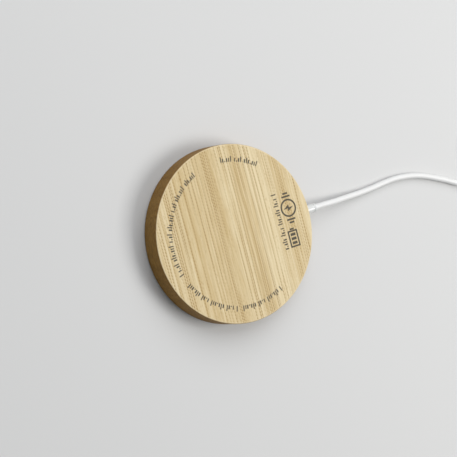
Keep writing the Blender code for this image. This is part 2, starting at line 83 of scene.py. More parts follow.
# Route from the stored coil to the plug's boot
TAIL_ROUTE = (
    (0.1294, -0.0163, 0.0072), (0.1325, -0.0157, 0.0068), (0.1354, -0.0146, 0.0062),
    (0.1380, -0.0137, 0.0055), (0.1406, -0.0123, 0.0047), (0.1428, -0.0103, 0.0039),
    (0.1446, -0.0076, 0.0033), (0.1458, -0.0046, 0.00305), (0.1460, -0.0022, 0.00302),
    (0.1460, -0.0008, 0.00302),
)
EXIT_HEIGHT = CORD_ROUTE[0][2]

# Kinds of socket of a node group
VECTOR = "NodeSocketVector"
COLOUR = "NodeSocketColor"
NUMBER = "NodeSocketFloat"
# The colour sockets of a Mix node, whose names are shared with its sockets for other values
MIX_FIRST = 6
MIX_SECOND = 7
MIX_RESULT = 2

# Widths in mm of the bamboo's strips and of its rows of split fibres
WIDE_STRIP = 5.2
SLIM_STRIP = 1.5
SPLIT_ROW = 0.72
# Scales per mm of its patterns across and along the grain, which runs along Y
WANDER = (0.03, 0.02, 0.03)
STREAKS = (1.25, 0.012, 1.25)
THREADS = (5.0, 0.16, 5.0)
BUNDLES = (2.2, 0.75, 2.2)
BUNDLE_ROWS = (0.8, 0.03, 0.8)
SPECKLE = (2.6, 0.4, 2.6)
RIM_WEAR_AND_HIGHLIGHT = (0.25, 0.25, 1.0)
INK_WEAR = (4.0, 0.5, 4.0)


# Settings -------------------------------------------------


def length_setting(name, description, default):
    """A size that a user can change."""
    return FloatProperty(name=name, description=description, default=default, unit="LENGTH")


def angle_setting(name, description, degrees):
    """An angle that a user can change."""
    default = math.radians(degrees)
    return FloatProperty(name=name, description=description, default=default, subtype="ANGLE")


def colour_setting(name, description, default):
    """A colour that a user can change."""
    return FloatVectorProperty(name=name, description=description, default=default, subtype="COLOR")


class CaseSettings(PropertyGroup):
    """Sizes and colours of the bamboo case and its marks."""

    segments: IntProperty(name="Facets", description="Facets round the case", default=240)
    top_break: length_setting("Top edge", "Rounding of the back's rim", 0.4 * MM)
    bottom_break: length_setting("Bottom edge", "Rounding of the mouth's rim", 0.3 * MM)
    wall: length_setting("Wall", "Thickness of the side wall", 2.7 * MM)
    back: length_setting("Back", "Thickness of the back", 1.6 * MM)
    bore: length_setting("Cord bore", "Radius of the hole for the cord", 1.65 * MM)
    light_strips: colour_setting("Light strips", "Palest bamboo", (0.71, 0.60, 0.385))
    dark_strips: colour_setting("Dark strips", "Darker bamboo", (0.49, 0.345, 0.145))
    fibres: colour_setting("Fibres", "Dark fibre bundles", (0.31, 0.185, 0.055))
    # Rim colour: partly sanded wear, partly a painted highlight.
    rim_colour_and_highlight: colour_setting("Rim", "Sanded rim", (0.80, 0.68, 0.45))
    # Side wall colour: partly the bamboo's own darker tone, partly painted shade.
    wall_colour_and_painted_shade: colour_setting("Side wall", "Tint of the side wall", (0.46, 0.31, 0.12))
    ink_colour: colour_setting("Ink", "Printed marks", (0.075, 0.068, 0.052))


class CordSettings(PropertyGroup):
    """Sizes and colour of the cord and its stored coil."""

    diameter: length_setting("Diameter", "Thickness of the cord", 2.0 * MM)
    length: length_setting("Length", "Length of the whole cord", 1.0)
    pitch: length_setting("Pitch", "Distance between neighbouring turns", 2.1 * MM)
    colour: colour_setting("Jacket", "Colour of the cord", (0.77, 0.77, 0.76))


class PlugSettings(PropertyGroup):
    """Colours of the plug and the strap, and sizes of the plug's mouth."""

    wall: length_setting("Shell wall", "Thickness of the metal shell", 0.3 * MM)
    slot: length_setting("Slot depth", "How deep the slot goes", 5.0 * MM)
    contacts: IntProperty(name="Contacts", description="Contacts in each row", default=12)
    grip_colour: colour_setting("Grip", "Moulded grip", (0.77, 0.77, 0.76))
    strap_colour: colour_setting("Strap", "Woven strap round the coil", (0.70, 0.70, 0.69))


class StageSettings(PropertyGroup):
    """Camera and floor."""

    lens: FloatProperty(name="Lens", description="Focal length in mm", default=138.25)
    distance: length_setting("Distance", "From the camera to its aim", 0.5917)
    turn: angle_setting("Turn", "Bearing of the camera from +X", 169.84)
    height: angle_setting("Height", "Angle above the floor", 60.1)
    roll: angle_setting("Roll", "Turn about the line of sight", 84.16)
    floor_colour: colour_setting("Floor", "Colour of the floor", (0.62, 0.62, 0.615))


SETTINGS = {
    "pad_case": CaseSettings,
    "pad_cord": CordSettings,
    "pad_plug": PlugSettings,
    "pad_stage": StageSettings,
}


# Modelling helpers ----------------------------------------


def rest():
    """Back to object mode with nothing selected."""
    if bpy.context.mode != "OBJECT":
        bpy.ops.object.mode_set(mode="OBJECT")
    bpy.ops.object.select_all(action="DESELECT")


def take_up(piece):
    """Make a piece the only selected one."""
    rest()
    piece.select_set(True)
    bpy.context.view_layer.objects.active = piece


def begin(name, add, **options):
    """Add a primitive, apply its place and open it for editing."""
    rest()
    add(**options)
    piece = bpy.context.object
    piece.name = name
    piece.data.name = name
    bpy.ops.object.transform_apply(location=True, rotation=True, scale=True)
    bpy.ops.object.mode_set(mode="EDIT")
    bpy.ops.mesh.select_all(action="DESELECT")
    return piece


def begin_block(name, low, high):
    """A block between two corners, open for editing."""
    middle = (low + high) / 2
    return begin(name, bpy.ops.mesh.primitive_cube_add, size=1.0, location=middle, scale=high - low)


def begin_rod(name, vertices, radius, length, centre):
    """A round rod along X, open for editing."""
    return begin(
        name,
        bpy.ops.mesh.primitive_cylinder_add,
        vertices=vertices,
        radius=radius,
        depth=length,
        location=centre,
        rotation=(0.0, math.pi / 2, 0.0),
    )


def begin_empty(name):
    """A piece with nothing in it yet, open for editing."""
    piece = begin(name, bpy.ops.mesh.primitive_plane_add, size=MM)
    pick_all()
    bpy.ops.mesh.delete(type="VERT")
    return piece


def pick_all():
    """Select the whole mesh."""
    bpy.ops.mesh.select_all(action="SELECT")


def pick(kind, test):
    """Select only the faces or edges that pass a test."""
    bpy.ops.mesh.select_mode(type=kind)
    bpy.ops.mesh.select_all(action="DESELECT")
    data = bpy.context.edit_object.data
    shape = bmesh.from_edit_mesh(data)
    found = [part for part in (shape.faces if kind == "FACE" else shape.edges) if test(part)]
    for part in found:
        part.select_set(True)
    bmesh.update_edit_mesh(data)
    if not found:
        raise RuntimeError(f"{data.name}: no {kind.lower()} to work on")


def pick_faces(test):
    """Select only the faces that pass a test."""
    pick("FACE", test)


def pick_edges(test):
    """Select only the edges whose two ends pass a test."""
    pick("EDGE", lambda edge: test(edge.verts[0].co, edge.verts[1].co))


def pick_outline(test):
    """Select only the outline of the faces that pass a test."""
    pick_faces(test)
    bpy.ops.mesh.region_to_loop()


def near(value, wanted):
    """True if two lengths are the same within a small slack."""
    return abs(value - wanted) < 0.02 * MM


def both(test):
    """A test of an edge that asks the same of its two ends."""
    return lambda start, end: test(start) and test(end)


def runs_along(axis):
    """A test of an edge that asks it to be parallel to X, Y or Z."""
    return lambda start, end: abs((end - start).normalized()[axis]) > 0.999


def on_ring(radius, level):
    """A test of an edge that asks it to lie on a circle round the pad's axis."""
    return both(lambda point: near(point.z, level) and near(point.xy.length, radius))


def end_face(side, place):
    """A test of a face that asks it to face -Y or +Y at one place along Y."""
    return lambda face: face.normal.y * side > 0.99 and near(face.calc_center_median().y, place)


def extrude(x=0.0, y=0.0, z=0.0):
    """Pull the selected faces out by a distance."""
    bpy.ops.mesh.extrude_region_move(TRANSFORM_OT_translate={"value": (x, y, z)})


def inset(thickness):
    """A smaller copy of the selected faces inside themselves."""
    bpy.ops.mesh.inset(thickness=thickness, use_boundary=True)


def bevel(offset, segments, slide=True):
    """Round the selected edges."""
    bpy.ops.mesh.bevel(
        offset=offset, segments=segments, affect="EDGES", clamp_overlap=True, loop_slide=slide
    )


def close_up(piece, angle=35):
    """Leave edit mode with clean normals and smooth shading."""
    pick_all()
    bpy.ops.mesh.remove_doubles(threshold=0.0005 * MM)
    bpy.ops.mesh.normals_make_consistent(inside=False)
    take_up(piece)
    bpy.ops.object.shade_smooth_by_angle(angle=math.radians(angle))


def apply_modifier(piece, kind, **options):
    """Add a modifier and apply it."""
    take_up(piece)
    made = piece.modifiers.new(kind.lower(), kind)
    for option, value in options.items():
        setattr(made, option, value)
    bpy.ops.object.modifier_apply(modifier=made.name)


def thicken(piece, thickness):
    """Give an open shell an inner wall, and open it for editing."""
    apply_modifier(piece, "SOLIDIFY", thickness=thickness, offset=-1.0, use_even_offset=True)
    bpy.ops.object.mode_set(mode="EDIT")


def combine(piece, other, operation):
    """Cut another mesh out of a piece or weld it on, and throw the other one away."""
    apply_modifier(piece, "BOOLEAN", operation=operation, solver="EXACT", object=other)
    bpy.data.objects.remove(other, do_unlink=True)


def even_shading(piece, angle=35):
    """Clean up after a cut, with smooth shading that keeps broad faces flat."""
    take_up(piece)
    bpy.ops.object.mode_set(mode="EDIT")
    pick_all()
    bpy.ops.mesh.dissolve_degenerate(threshold=0.001 * MM)
    bpy.ops.object.mode_set(mode="OBJECT")
    bpy.ops.object.shade_smooth_by_angle(angle=math.radians(angle))
    apply_modifier(piece, "WEIGHTED_NORMAL", keep_sharp=True)


def turn(name, outline, steps, centre=(0.0, 0.0, 0.0), axis=(0.0, 0.0, 1.0), closed=False, angle=35):
    """A solid turned about an axis from an outline, drawn point by point and spun."""
    here = Vector(outline[0])
    piece = begin(name, bpy.ops.mesh.primitive_plane_add, size=MM, location=here)
    bpy.ops.mesh.select_mode(type="VERT")
    pick_all()
    bpy.ops.mesh.merge(type="CENTER")
    for point in (*outline[1:], outline[0]) if closed else outline[1:]:
        extrude(*(Vector(point) - here))
        here = Vector(point)
    pick_all()
    bpy.ops.mesh.spin(steps=steps, angle=2 * math.pi, center=centre, axis=axis)
    close_up(piece, angle)
    return piece


def settle(piece, material, slot, *nodes):
    """Give a finished piece its finish and its body, and hide the solids that it stands for."""
    rest()
    piece.data.materials.clear()
    piece.data.materials.append(material)
    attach(piece, BODY)
    if nodes:
        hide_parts(*nodes)


# Material helpers -----------------------------------------


def make_group(name, inputs, outputs):
    """A shader node group with named sockets, given as (name, kind, default)."""
    group = bpy.data.node_groups.new(name, "ShaderNodeTree")
    for label, kind, default in inputs:
        socket = group.interface.new_socket(label, in_out="INPUT", socket_type=kind)
        if default is not None:
            socket.default_value = default
    for label, kind in outputs:
        group.interface.new_socket(label, in_out="OUTPUT", socket_type=kind)
    return group, group.nodes.new("NodeGroupInput"), group.nodes.new("NodeGroupOutput")


def end_group(group, end, **results):
    """Link what a group puts out, and give the group back."""
    for label, value in results.items():
        group.links.new(value, end.inputs[label])
    return group


def use_group(tree, group, place, **values):
    """The outputs of a group placed in a material with its own values."""
    node = tree.nodes.new("ShaderNodeGroup")
    node.node_tree = group
    tree.links.new(place, node.inputs["Position"])
    for label, value in values.items():
        feed(tree, value, node.inputs[label.replace("_", " ")])
    return node.outputs


def feed(tree, value, socket):
    """Link a socket or set a constant."""
    if isinstance(value, bpy.types.NodeSocket):
        tree.links.new(value, socket)
    else:
        socket.default_value = value


def math_node(tree, operation, first, second=0.0, clamp=False):
    """The output of a Math node fed by sockets or numbers."""
    node = tree.nodes.new("ShaderNodeMath")
    node.operation = operation
    node.use_clamp = clamp
    for socket, value in zip(node.inputs, (first, second)):
        feed(tree, value, socket)
    return node.outputs["Value"]


def times(tree, first, second):
    """One value multiplied by another."""
    return math_node(tree, "MULTIPLY", first, second)


def minus(tree, first, second, clamp=False):
    """One value less another."""
    return math_node(tree, "SUBTRACT", first, second, clamp)


def summed(tree, *parts):
    """The sum of (value, weight) pairs."""
    total = 0.0
    for value, weight in parts:
        total = math_node(tree, "ADD", times(tree, value, weight), total)
    return total


def scaled(tree, vector, scale):
    """A vector multiplied axis by axis."""
    node = tree.nodes.new("ShaderNodeVectorMath")
    node.operation = "MULTIPLY"
    tree.links.new(vector, node.inputs[0])
    node.inputs[1].default_value = scale
    return node.outputs["Vector"]


def axes_of(tree, vector):
    """The X, Y and Z of a vector, by name."""
    node = tree.nodes.new("ShaderNodeSeparateXYZ")
    tree.links.new(vector, node.inputs["Vector"])
    return node.outputs


def noise(tree, vector, scale, detail=2.0, roughness=0.5):
    """Values of a noise texture."""
    node = tree.nodes.new("ShaderNodeTexNoise")
    tree.links.new(vector, node.inputs["Vector"])
    feed(tree, scale, node.inputs["Scale"])
    node.inputs["Detail"].default_value = detail
    node.inputs["Roughness"].default_value = roughness
    return node.outputs["Fac"]


def stretched_noise(tree, place, scales, detail=2.0, roughness=0.5):
    """Noise with a scale of its own along each axis."""
    return noise(tree, scaled(tree, place, scales), 1.0, detail, roughness)


def spread(tree, value, low, high, to_low=0.0, to_high=1.0):
    """A value stretched from one range to another, and held inside it."""
    node = tree.nodes.new("ShaderNodeMapRange")
    feed(tree, value, node.inputs["Value"])
    node.inputs["From Min"].default_value = low
    node.inputs["From Max"].default_value = high
    feed(tree, to_low, node.inputs["To Min"])
    feed(tree, to_high, node.inputs["To Max"])
    return node.outputs["Result"]


def blend_colours(tree, factor, first, second, mode="MIX"):
    """A mix of two colours."""
    node = tree.nodes.new("ShaderNodeMix")
    node.data_type = "RGBA"
    node.blend_type = mode
    feed(tree, factor, node.inputs["Factor"])
    feed(tree, first, node.inputs[MIX_FIRST])
    feed(tree, second, node.inputs[MIX_SECOND])
    return node.outputs[MIX_RESULT]


def object_position(tree):
    """Object coordinates in millimetres."""
    place = tree.nodes.new("ShaderNodeTexCoord")
    return scaled(tree, place.outputs["Object"], (1 / MM, 1 / MM, 1 / MM))


def rgba(colour, shade=1.0):
    """A colour as a socket takes it, dimmed or lifted by a factor."""
    return (*(part * shade for part in colour), 1.0)


def new_material(name, metallic=0.0, **constants):
    """A material, its tree and its shader, with constant values on the shader itself."""
    material = bpy.data.materials.new(name)
    material.use_nodes = True
    tree = material.node_tree
    shader = tree.nodes["Principled BSDF"]
    shader.inputs["Metallic"].default_value = metallic
    for label, value in constants.items():
        shader.inputs[label.replace("_", " ")].default_value = value
    return material, tree, shader


def wire_up(tree, shader, colour, roughness, height, relief):
    """Give a shader its colour and roughness, and a relief in mm."""
    tree.links.new(colour, shader.inputs["Base Color"])
    feed(tree, roughness, shader.inputs["Roughness"])
    bump = tree.nodes.new("ShaderNodeBump")
    bump.inputs["Distance"].default_value = relief * MM
    tree.links.new(height, bump.inputs["Height"])
    tree.links.new(bump.outputs["Normal"], shader.inputs["Normal"])


def moulded_group():
    """Fine mottling and texture of a moulded, plated or pressed surface."""
    if "moulded surface" in bpy.data.node_groups:
        return bpy.data.node_groups["moulded surface"]
    group, start, end = make_group(
        "moulded surface",
        (
            ("Position", VECTOR, None),
            ("Colour", COLOUR, (0.5, 0.5, 0.5, 1.0)),
            ("Shade", COLOUR, (0.4, 0.4, 0.4, 1.0)),
            ("Grain", NUMBER, 6.0),
            ("Smooth", NUMBER, 0.3),
            ("Rough", NUMBER, 0.5),
        ),
        (("Colour", COLOUR), ("Roughness", NUMBER), ("Height", NUMBER)),
    )
    place = start.outputs["Position"]
    broad = noise(group, place, 0.35, 3.0)
    fine = noise(group, place, start.outputs["Grain"], 3.0, 0.6)
    mix = math_node(group, "ADD", times(group, broad, 0.6), times(group, fine, 0.4))
    mask = spread(group, mix, 0.35, 0.65)
    colour = blend_colours(group, mask, start.outputs["Shade"], start.outputs["Colour"])
    rough = spread(group, mix, 0.35, 0.65, start.outputs["Smooth"], start.outputs["Rough"])
    return end_group(group, end, Colour=colour, Roughness=rough, Height=fine)


def moulded_surface(tree, place, colour, shade, grain, rough):
    """The outputs of the moulded group for one colour, its dimmer shade and its roughness."""
    return use_group(
        tree,
        moulded_group(),
        place,
        Colour=rgba(colour),
        Shade=rgba(colour, shade),
        Grain=grain,
        Smooth=rough[0],
        Rough=rough[1],
    )


def moulded_material(name, colour, shade, grain, rough, relief, metallic=0.0, **constants):
    """A plastic, metal or ceramic surface from the shared moulded group."""
    material, tree, shader = new_material(name, metallic, **constants)
    skin = moulded_surface(tree, object_position(tree), colour, shade, grain, rough)
    wire_up(tree, shader, skin["Colour"], skin["Roughness"], skin["Height"], relief)
    return material


def strips(tree, along, width, feature="F1"):
    """Random strips along a value in mm: a colour for each, or the distance to their joints."""
    node = tree.nodes.new("ShaderNodeTexVoronoi")
    node.voronoi_dimensions = "1D"
    node.feature = feature
    node.inputs["Scale"].default_value = 1.0
    node.inputs["Randomness"].default_value = 0.75
    tree.links.new(math_node(tree, "DIVIDE", along, width), node.inputs["W"])
    return node


def random_of(tree, cells):
    """One random value of each cell of a Voronoi texture."""
    apart = tree.nodes.new("ShaderNodeSeparateColor")
    tree.links.new(cells.outputs["Color"], apart.inputs["Color"])
    return apart.outputs["Red"]


def bamboo_group():
    """Laminated bamboo: strips side by side along X, with their fibres along Y."""
    group, start, end = make_group(
        "bamboo grain",
        (
            ("Position", VECTOR, None),
            ("Light", COLOUR, (0.8, 0.7, 0.5, 1.0)),
            ("Dark", COLOUR, (0.7, 0.5, 0.3, 1.0)),
            ("Fibre", COLOUR, (0.4, 0.3, 0.1, 1.0)),
            ("Split fibres", NUMBER, 1.0),
        ),
        (("Colour", COLOUR), ("Roughness", NUMBER), ("Height", NUMBER)),
    )
    place = start.outputs["Position"]
    axes = axes_of(group, place)
    wander = stretched_noise(group, place, WANDER, 1.0)
    across = summed(group, (axes["X"], 1.0), (wander, 0.9))
    wide = random_of(group, strips(group, across, WIDE_STRIP))
    slim = random_of(group, strips(group, across, SLIM_STRIP))
    streaks = stretched_noise(group, place, STREAKS, 4.0, 0.8)
    threads = stretched_noise(group, place, THREADS, 3.0, 0.6)
    tone = summed(group, (wide, 0.26), (slim, 0.14), (streaks, 0.70), (threads, 0.75))
    tone = spread(group, tone, 0.52, 1.11)
    wood = blend_colours(group, tone, start.outputs["Dark"], start.outputs["Light"])
    dots = fibre_ends(group, place)
    rows = times(group, split_fibres(group, axes, across), start.outputs["Split fibres"])
    joints = strips(group, across, WIDE_STRIP, "DISTANCE_TO_EDGE")
    seam = spread(group, joints.outputs["Distance"], 0.0, 0.03, 0.30, 0.0)
    dark = math_node(group, "MAXIMUM", times(group, dots, 0.55), seam)
    dark = math_node(group, "MAXIMUM", rows, dark)
    wood = blend_colours(group, dark, wood, start.outputs["Fibre"])
    rough = spread(group, threads, 0.3, 0.7, 0.62, 0.44)
    height = summed(group, (threads, 1.0), (dots, -0.7), (rows, -0.6))
    return end_group(group, end, Colour=wood, Roughness=rough, Height=height)


def fibre_ends(tree, place):
    """Fibre bundles as long cells: dashes along the grain, and dots where it is cut across."""
    bundles = tree.nodes.new("ShaderNodeTexVoronoi")
    bundles.inputs["Scale"].default_value = 1.0
    tree.links.new(scaled(tree, place, BUNDLES), bundles.inputs["Vector"])
    dash = spread(tree, bundles.outputs["Distance"], 0.12, 0.42, 1.0, 0.0)
    rows = spread(tree, stretched_noise(tree, place, BUNDLE_ROWS), 0.42, 0.62)
    chance = spread(tree, random_of(tree, bundles), 0.25, 0.8)
    return times(tree, dash, times(tree, rows, chance))


def split_fibres(tree, axes, across):
    """Rows of short slanted dashes, where the plane has cut through twisted bundles."""
    cells = strips(tree, across, SPLIT_ROW)
    offset = times(tree, random_of(tree, cells), 9.0)
    run = summed(tree, (axes["Y"], 0.9), (across, 1.1), (offset, 1.0))
    dash = spread(tree, math_node(tree, "SINE", times(tree, run, math.tau)), -0.8, 0.8, 0.25, 1.0)
    line = spread(tree, cells.outputs["Distance"], 0.08, 0.40, 1.0, 0.0)
    place = tree.nodes.new("ShaderNodeCombineXYZ")
    tree.links.new(times(tree, across, 0.42), place.inputs["X"])
    tree.links.new(times(tree, axes["Y"], 0.022), place.inputs["Y"])
    crowd = spread(tree, noise(tree, place.outputs["Vector"], 1.0, 2.0, 0.6), 0.36, 0.54)
    weight = times(tree, crowd, spread(tree, random_of(tree, cells), 0.15, 0.6))
    return times(tree, times(tree, dash, line), weight)


def edge_masks(tree, place):
    """Masks of the turned side wall, whose darkening is partly painted shade, and of the sanded rim above
    it, whose paleness is partly a painted highlight.
    """
    axes = axes_of(tree, place)
    square_x = math_node(tree, "POWER", axes["X"], 2.0)
    square_y = math_node(tree, "POWER", axes["Y"], 2.0)
    radius = math_node(tree, "SQRT", math_node(tree, "ADD", square_x, square_y))
    edge = CASE_HIGH.x / MM
    top = CASE_HIGH.z / MM
    # The wall mask carries painted shade and reaches onto the lower part of the rim's rounding.
    outside = spread(tree, radius, edge - 0.3, edge - 0.14)
    wall = times(tree, outside, spread(tree, axes["Z"], top - 0.05, top - 0.22))
    # Rim mask with a wavering start: partly sanded wear, partly a painted highlight.
    start = math_node(tree, "ADD", radius, times(tree, stretched_noise(tree, place, RIM_WEAR_AND_HIGHLIGHT), 0.3))
    rim = minus(tree, spread(tree, start, edge - 0.45, edge - 0.1), wall, clamp=True)
    return wall, rim


def bamboo_material(look):
    """Sanded bamboo whose side wall is darker, partly its own finish and partly painted shade, and whose
    rim is paler, partly sanded wear and partly a painted highlight.
    """
    material, tree, shader = new_material("bamboo", Specular_IOR_Level=0.12)
    place = object_position(tree)
    wall, rim = edge_masks(tree, place)
    grain = use_group(
        tree,
        bamboo_group(),
        place,
        Light=rgba(look.light_strips),
        Dark=rgba(look.dark_strips),
        Fibre=rgba(look.fibres),
        Split_fibres=minus(tree, 1.0, wall),
    )
    speckle = spread(tree, stretched_noise(tree, place, SPECKLE, 2.0, 0.7), 0.36, 0.64)
    # Painted shade: the wall colour is darker than the wall's own tone alone.
    speckled_wall_and_shade = blend_colours(tree, speckle, rgba(look.wall_colour_and_painted_shade, 0.68), rgba(look.wall_colour_and_painted_shade, 1.2))
    tint = blend_colours(tree, wall, (1.0, 1.0, 1.0, 1.0), speckled_wall_and_shade)
    colour = blend_colours(tree, 1.0, grain["Colour"], tint, "MULTIPLY")
    # Painted highlight, partly sanded wear: the rim is paled all round.
    colour = blend_colours(tree, times(tree, rim, 0.45), colour, rgba(look.rim_colour_and_highlight))
    wire_up(tree, shader, colour, grain["Roughness"], grain["Height"], 0.03)
    return material


# Stage ----------------------------------------------------


def add_light(name, location, size, power, colour):
    """A soft square light, turned towards the pad."""
    lamp = bpy.data.lights.new(name, "AREA")
    lamp.shape = "SQUARE"
    lamp.size = size
    lamp.energy = power
    lamp.color = colour
    holder = bpy.data.objects.new(name, lamp)
    bpy.context.scene.collection.objects.link(holder)
    holder.location = location
    holder.rotation_mode = "QUATERNION"
    holder.rotation_quaternion = (-holder.location).to_track_quat("-Z", "Y")


class PAD_OT_stage(Operator):
    """Camera, floor and soft light"""

    bl_idname = "pad.stage"
    bl_label = "Stage"

    camera_aim = Vector((2.48 * MM, 1.55 * MM, 0.0))
    sensor_width = 36.0
    # Lights as name, place, size, power and colour
    lights = (
        ("key_light", (0.42, -0.22, 0.64), 0.40, 3.9, (1.0, 0.985, 0.96)),
        ("top_light", (0.14, 0.50, 0.64), 0.8, 4.9, (0.99, 0.99, 1.0)),
    )
    sky_colour = (0.9, 0.95, 1.0)
    sky_strength = 0.25
    floor_size = 6.0

    def execute(self, context):
        look = context.scene.pad_stage
        self.place_camera(look)
        self.make_floor(look)
        for light in self.lights:
            add_light(*light)
        world = bpy.data.worlds.new("studio")
        world.use_nodes = True
        sky = world.node_tree.nodes["Background"]
        sky.inputs["Color"].default_value = rgba(self.sky_colour)
        sky.inputs["Strength"].default_value = self.sky_strength
        context.scene.world = world
        context.scene.view_settings.view_transform = "Standard"
        return {"FINISHED"}

    def place_camera(self, look):
        """The camera at its bearing and height, turned to its aim."""
        camera = bpy.data.cameras.new("camera")
        camera.lens = look.lens
        camera.sensor_width = self.sensor_width
        camera.clip_start = 0.01
        camera.clip_end = 10.0
        holder = bpy.data.objects.new("camera", camera)
        bpy.context.scene.collection.objects.link(holder)
        flat = math.cos(look.height)
        back = Vector((flat * math.cos(look.turn), flat * math.sin(look.turn), math.sin(look.height)))
        holder.location = self.camera_aim + back * look.distance
        holder.rotation_mode = "QUATERNION"
        level = back.to_track_quat("Z", "Y")
        holder.rotation_quaternion = level @ Quaternion((0.0, 0.0, 1.0), look.roll)
        bpy.context.scene.camera = holder

    def make_floor(self, look):
        """A wide pale floor with faint mottling."""
        floor = begin("floor", bpy.ops.mesh.primitive_plane_add, size=self.floor_size)
        rest()
        material, tree, shader = new_material("floor", Roughness=0.75)
        patches = noise(tree, object_position(tree), 0.004, 2.0)
        colour = blend_colours(tree, patches, rgba(look.floor_colour), rgba(look.floor_colour, 0.97))
        tree.links.new(colour, shader.inputs["Base Color"])
        floor.data.materials.append(material)


# Cord -----------------------------------------------------


def smooth_line(route, spacing=1.0 * MM):
    """Evenly spaced points on a smooth curve through route points."""
    marks = [Vector(point) for point in route]
    marks = [marks[0] * 2 - marks[1], *marks, marks[-1] * 2 - marks[-2]]
    line = []
    for a, b, c, d in zip(marks, marks[1:], marks[2:], marks[3:]):
        count = max(2, round((c - b).length / spacing))
        for i in range(count):
            t = i / count
            swing = (c - a) * t + (2 * a - 5 * b + 4 * c - d) * t**2 + (3 * b - a - 3 * c + d) * t**3
            line.append(b + swing / 2)
    line.append(marks[-2])
    return line


def link_points(before, after):
    """Points before, with a smooth link added towards the points after."""
    gap = (after[0] - before[-1]).length
    leave = (before[-1] - before[-2]).normalized() * gap
    arrive = (after[1] - after[0]).normalized() * gap
    count = max(2, round(gap / MM))
    link = []
    for i in range(1, count):
        t = i / count
        point = before[-1] * (2 * t**3 - 3 * t**2 + 1) + leave * (t**3 - 2 * t**2 + t)
        point += after[0] * (3 * t**2 - 2 * t**3) + arrive * (t**3 - t**2)
        link.append(point)
    return before + link


def ease(share):
    """0 to 1 with a soft start and end."""
    share = min(1.0, max(0.0, share))
    return share * share * (3 - 2 * share)


class PAD_OT_cord(Operator):
    """The whole cord: uncoiled stretch, stored coil and tail"""

    bl_idname = "pad.cord"
    bl_label = "Cord"

    columns = 3
    layers = 4
    steps = 36  # points in each turn
    crossing = 0.16  # share of a turn in which the cord steps to the next place
    first_bearing = math.radians(-113)
    last_bearing = math.radians(-84)
    strap_bearing = math.radians(90)
    strap_lift = 0.42 * MM  # the turns lie on the strap's lower side
    strap_reach = 0.45  # radians to each side of the strap
    waver = 0.04 * MM  # the turns don't lie quite true
    waver_rate = 2.3
    waver_shift = 1.7
    floor_gap = 0.02 * MM
    nesting = 0.985  # layers sink a little into each other

    def execute(self, context):
        look = context.scene.pad_cord
        coil = self.coil(look)
        tail = smooth_line(TAIL_ROUTE)
        points = link_points(smooth_line(CORD_ROUTE), coil) + coil
        points = link_points(points, tail) + tail
        data = bpy.data.curves.new("cord", "CURVE")
        data.dimensions = "3D"
        data.bevel_depth = look.diameter / 2
        data.bevel_resolution = 6
        data.use_fill_caps = True
        line = data.splines.new("POLY")
        line.points.add(len(points) - 1)
        for mark, point in zip(line.points, points):
            mark.co = (*point, 1.0)
        line.use_smooth = True
        cord = bpy.data.objects.new("cord", data)
        context.scene.collection.objects.link(cord)
        jacket = moulded_material("cord jacket", look.colour, 0.96, 4.0, (0.40, 0.52), 0.006)
        settle(cord, jacket, "cord_jacket", "cord_tube", "cord_coil", "cord_tail")
        return {"FINISHED"}

    def coil(self, look):
        """Points of the turns, wound in and out layer by layer."""
        centre = (COIL_LOW + COIL_HIGH) / 2
        outer = (COIL_HIGH.x - COIL_LOW.x) / 2 - look.diameter / 2
        places = self.columns * self.layers
        stop = self.last_bearing + 2 * math.pi * places
        count = self.steps * places
        points = []
        for i in range(count + 1):
            angle = self.first_bearing + (stop - self.first_bearing) * i / count
            turns = (angle - self.first_bearing) / (2 * math.pi)
            place = min(int(turns), places - 1)
            step = ease((turns - place - 1 + self.crossing) / self.crossing)
            now = self.seat(place)
            then = self.seat(min(place + 1, places - 1))
            column = now[0] + (then[0] - now[0]) * step
            layer = now[1] + (then[1] - now[1]) * step
            waver = self.waver * math.sin(angle * self.waver_rate + place * self.waver_shift)
            radius = outer - column * look.pitch + waver
            away = math.remainder(angle - self.strap_bearing, 2 * math.pi)
            lift = self.strap_lift * math.exp(-((away / self.strap_reach) ** 2))
            height = look.diameter / 2 + self.floor_gap + layer * look.pitch * self.nesting + lift
            x = centre.x + radius * math.cos(angle)
            y = centre.y + radius * math.sin(angle)
            points.append(Vector((x, y, height)))
        return points

    def seat(self, place):
        """Column from the outside and layer from the floor of one turn."""
        layer, column = divmod(place, self.columns)
        if layer % 2:
            column = self.columns - 1 - column
        return column, layer


# Pad ------------------------------------------------------


class PAD_OT_case(Operator):
    """Turned bamboo case, hollowed for the insides and bored for the cord"""

    bl_idname = "pad.case"
    bl_label = "Bamboo case"

    cover_gap = 0.3 * MM
    tape_gap = 0.1 * MM
    mouth_break = 0.15 * MM
    back_loops = (0.3 * MM, 3.0 * MM)  # insets that keep the shading of the back flat
    bore_depth = 6.0 * MM
    bore_inwards = 1.0 * MM

    def execute(self, context):
        look = context.scene.pad_case
        radius = CASE_HIGH.x
        base, top = CASE_LOW.z, CASE_HIGH.z
        mouth = COVER_HIGH.x + self.cover_gap
        ledge = TAPE_HIGH.z + self.tape_gap
        case = begin(
            "case_of_bamboo",
            bpy.ops.mesh.primitive_cylinder_add,
            vertices=look.segments,
            radius=radius,
            depth=top - base,
            location=(0.0, 0.0, (top + base) / 2),
        )
        pick_faces(lambda face: face.normal.z < -0.9)
        inset(radius - mouth)
        extrude(z=ledge - base)
        inset(mouth - (radius - look.wall))
        extrude(z=top - look.back - ledge)
        for ring, level, rounding, facets in (
            (radius, top, look.top_break, 6),
            (radius, base, look.bottom_break, 4),
            (mouth, base, self.mouth_break, 2),
        ):
            pick_edges(on_ring(ring, level))
            bevel(rounding, facets)
        pick_faces(lambda face: face.normal.z > 0.999 and face.calc_center_median().z > top - 0.01 * MM)
        for inwards in self.back_loops:
            inset(inwards)
        close_up(case)
        centre = (radius - self.bore_inwards, 0.0, EXIT_HEIGHT)
        bore = begin_rod("bore", 64, look.bore, self.bore_depth, centre)
        combine(case, bore, "DIFFERENCE")
        even_shading(case)
        settle(case, bamboo_material(look), "bamboo", "bamboo_case")
        return {"FINISHED"}


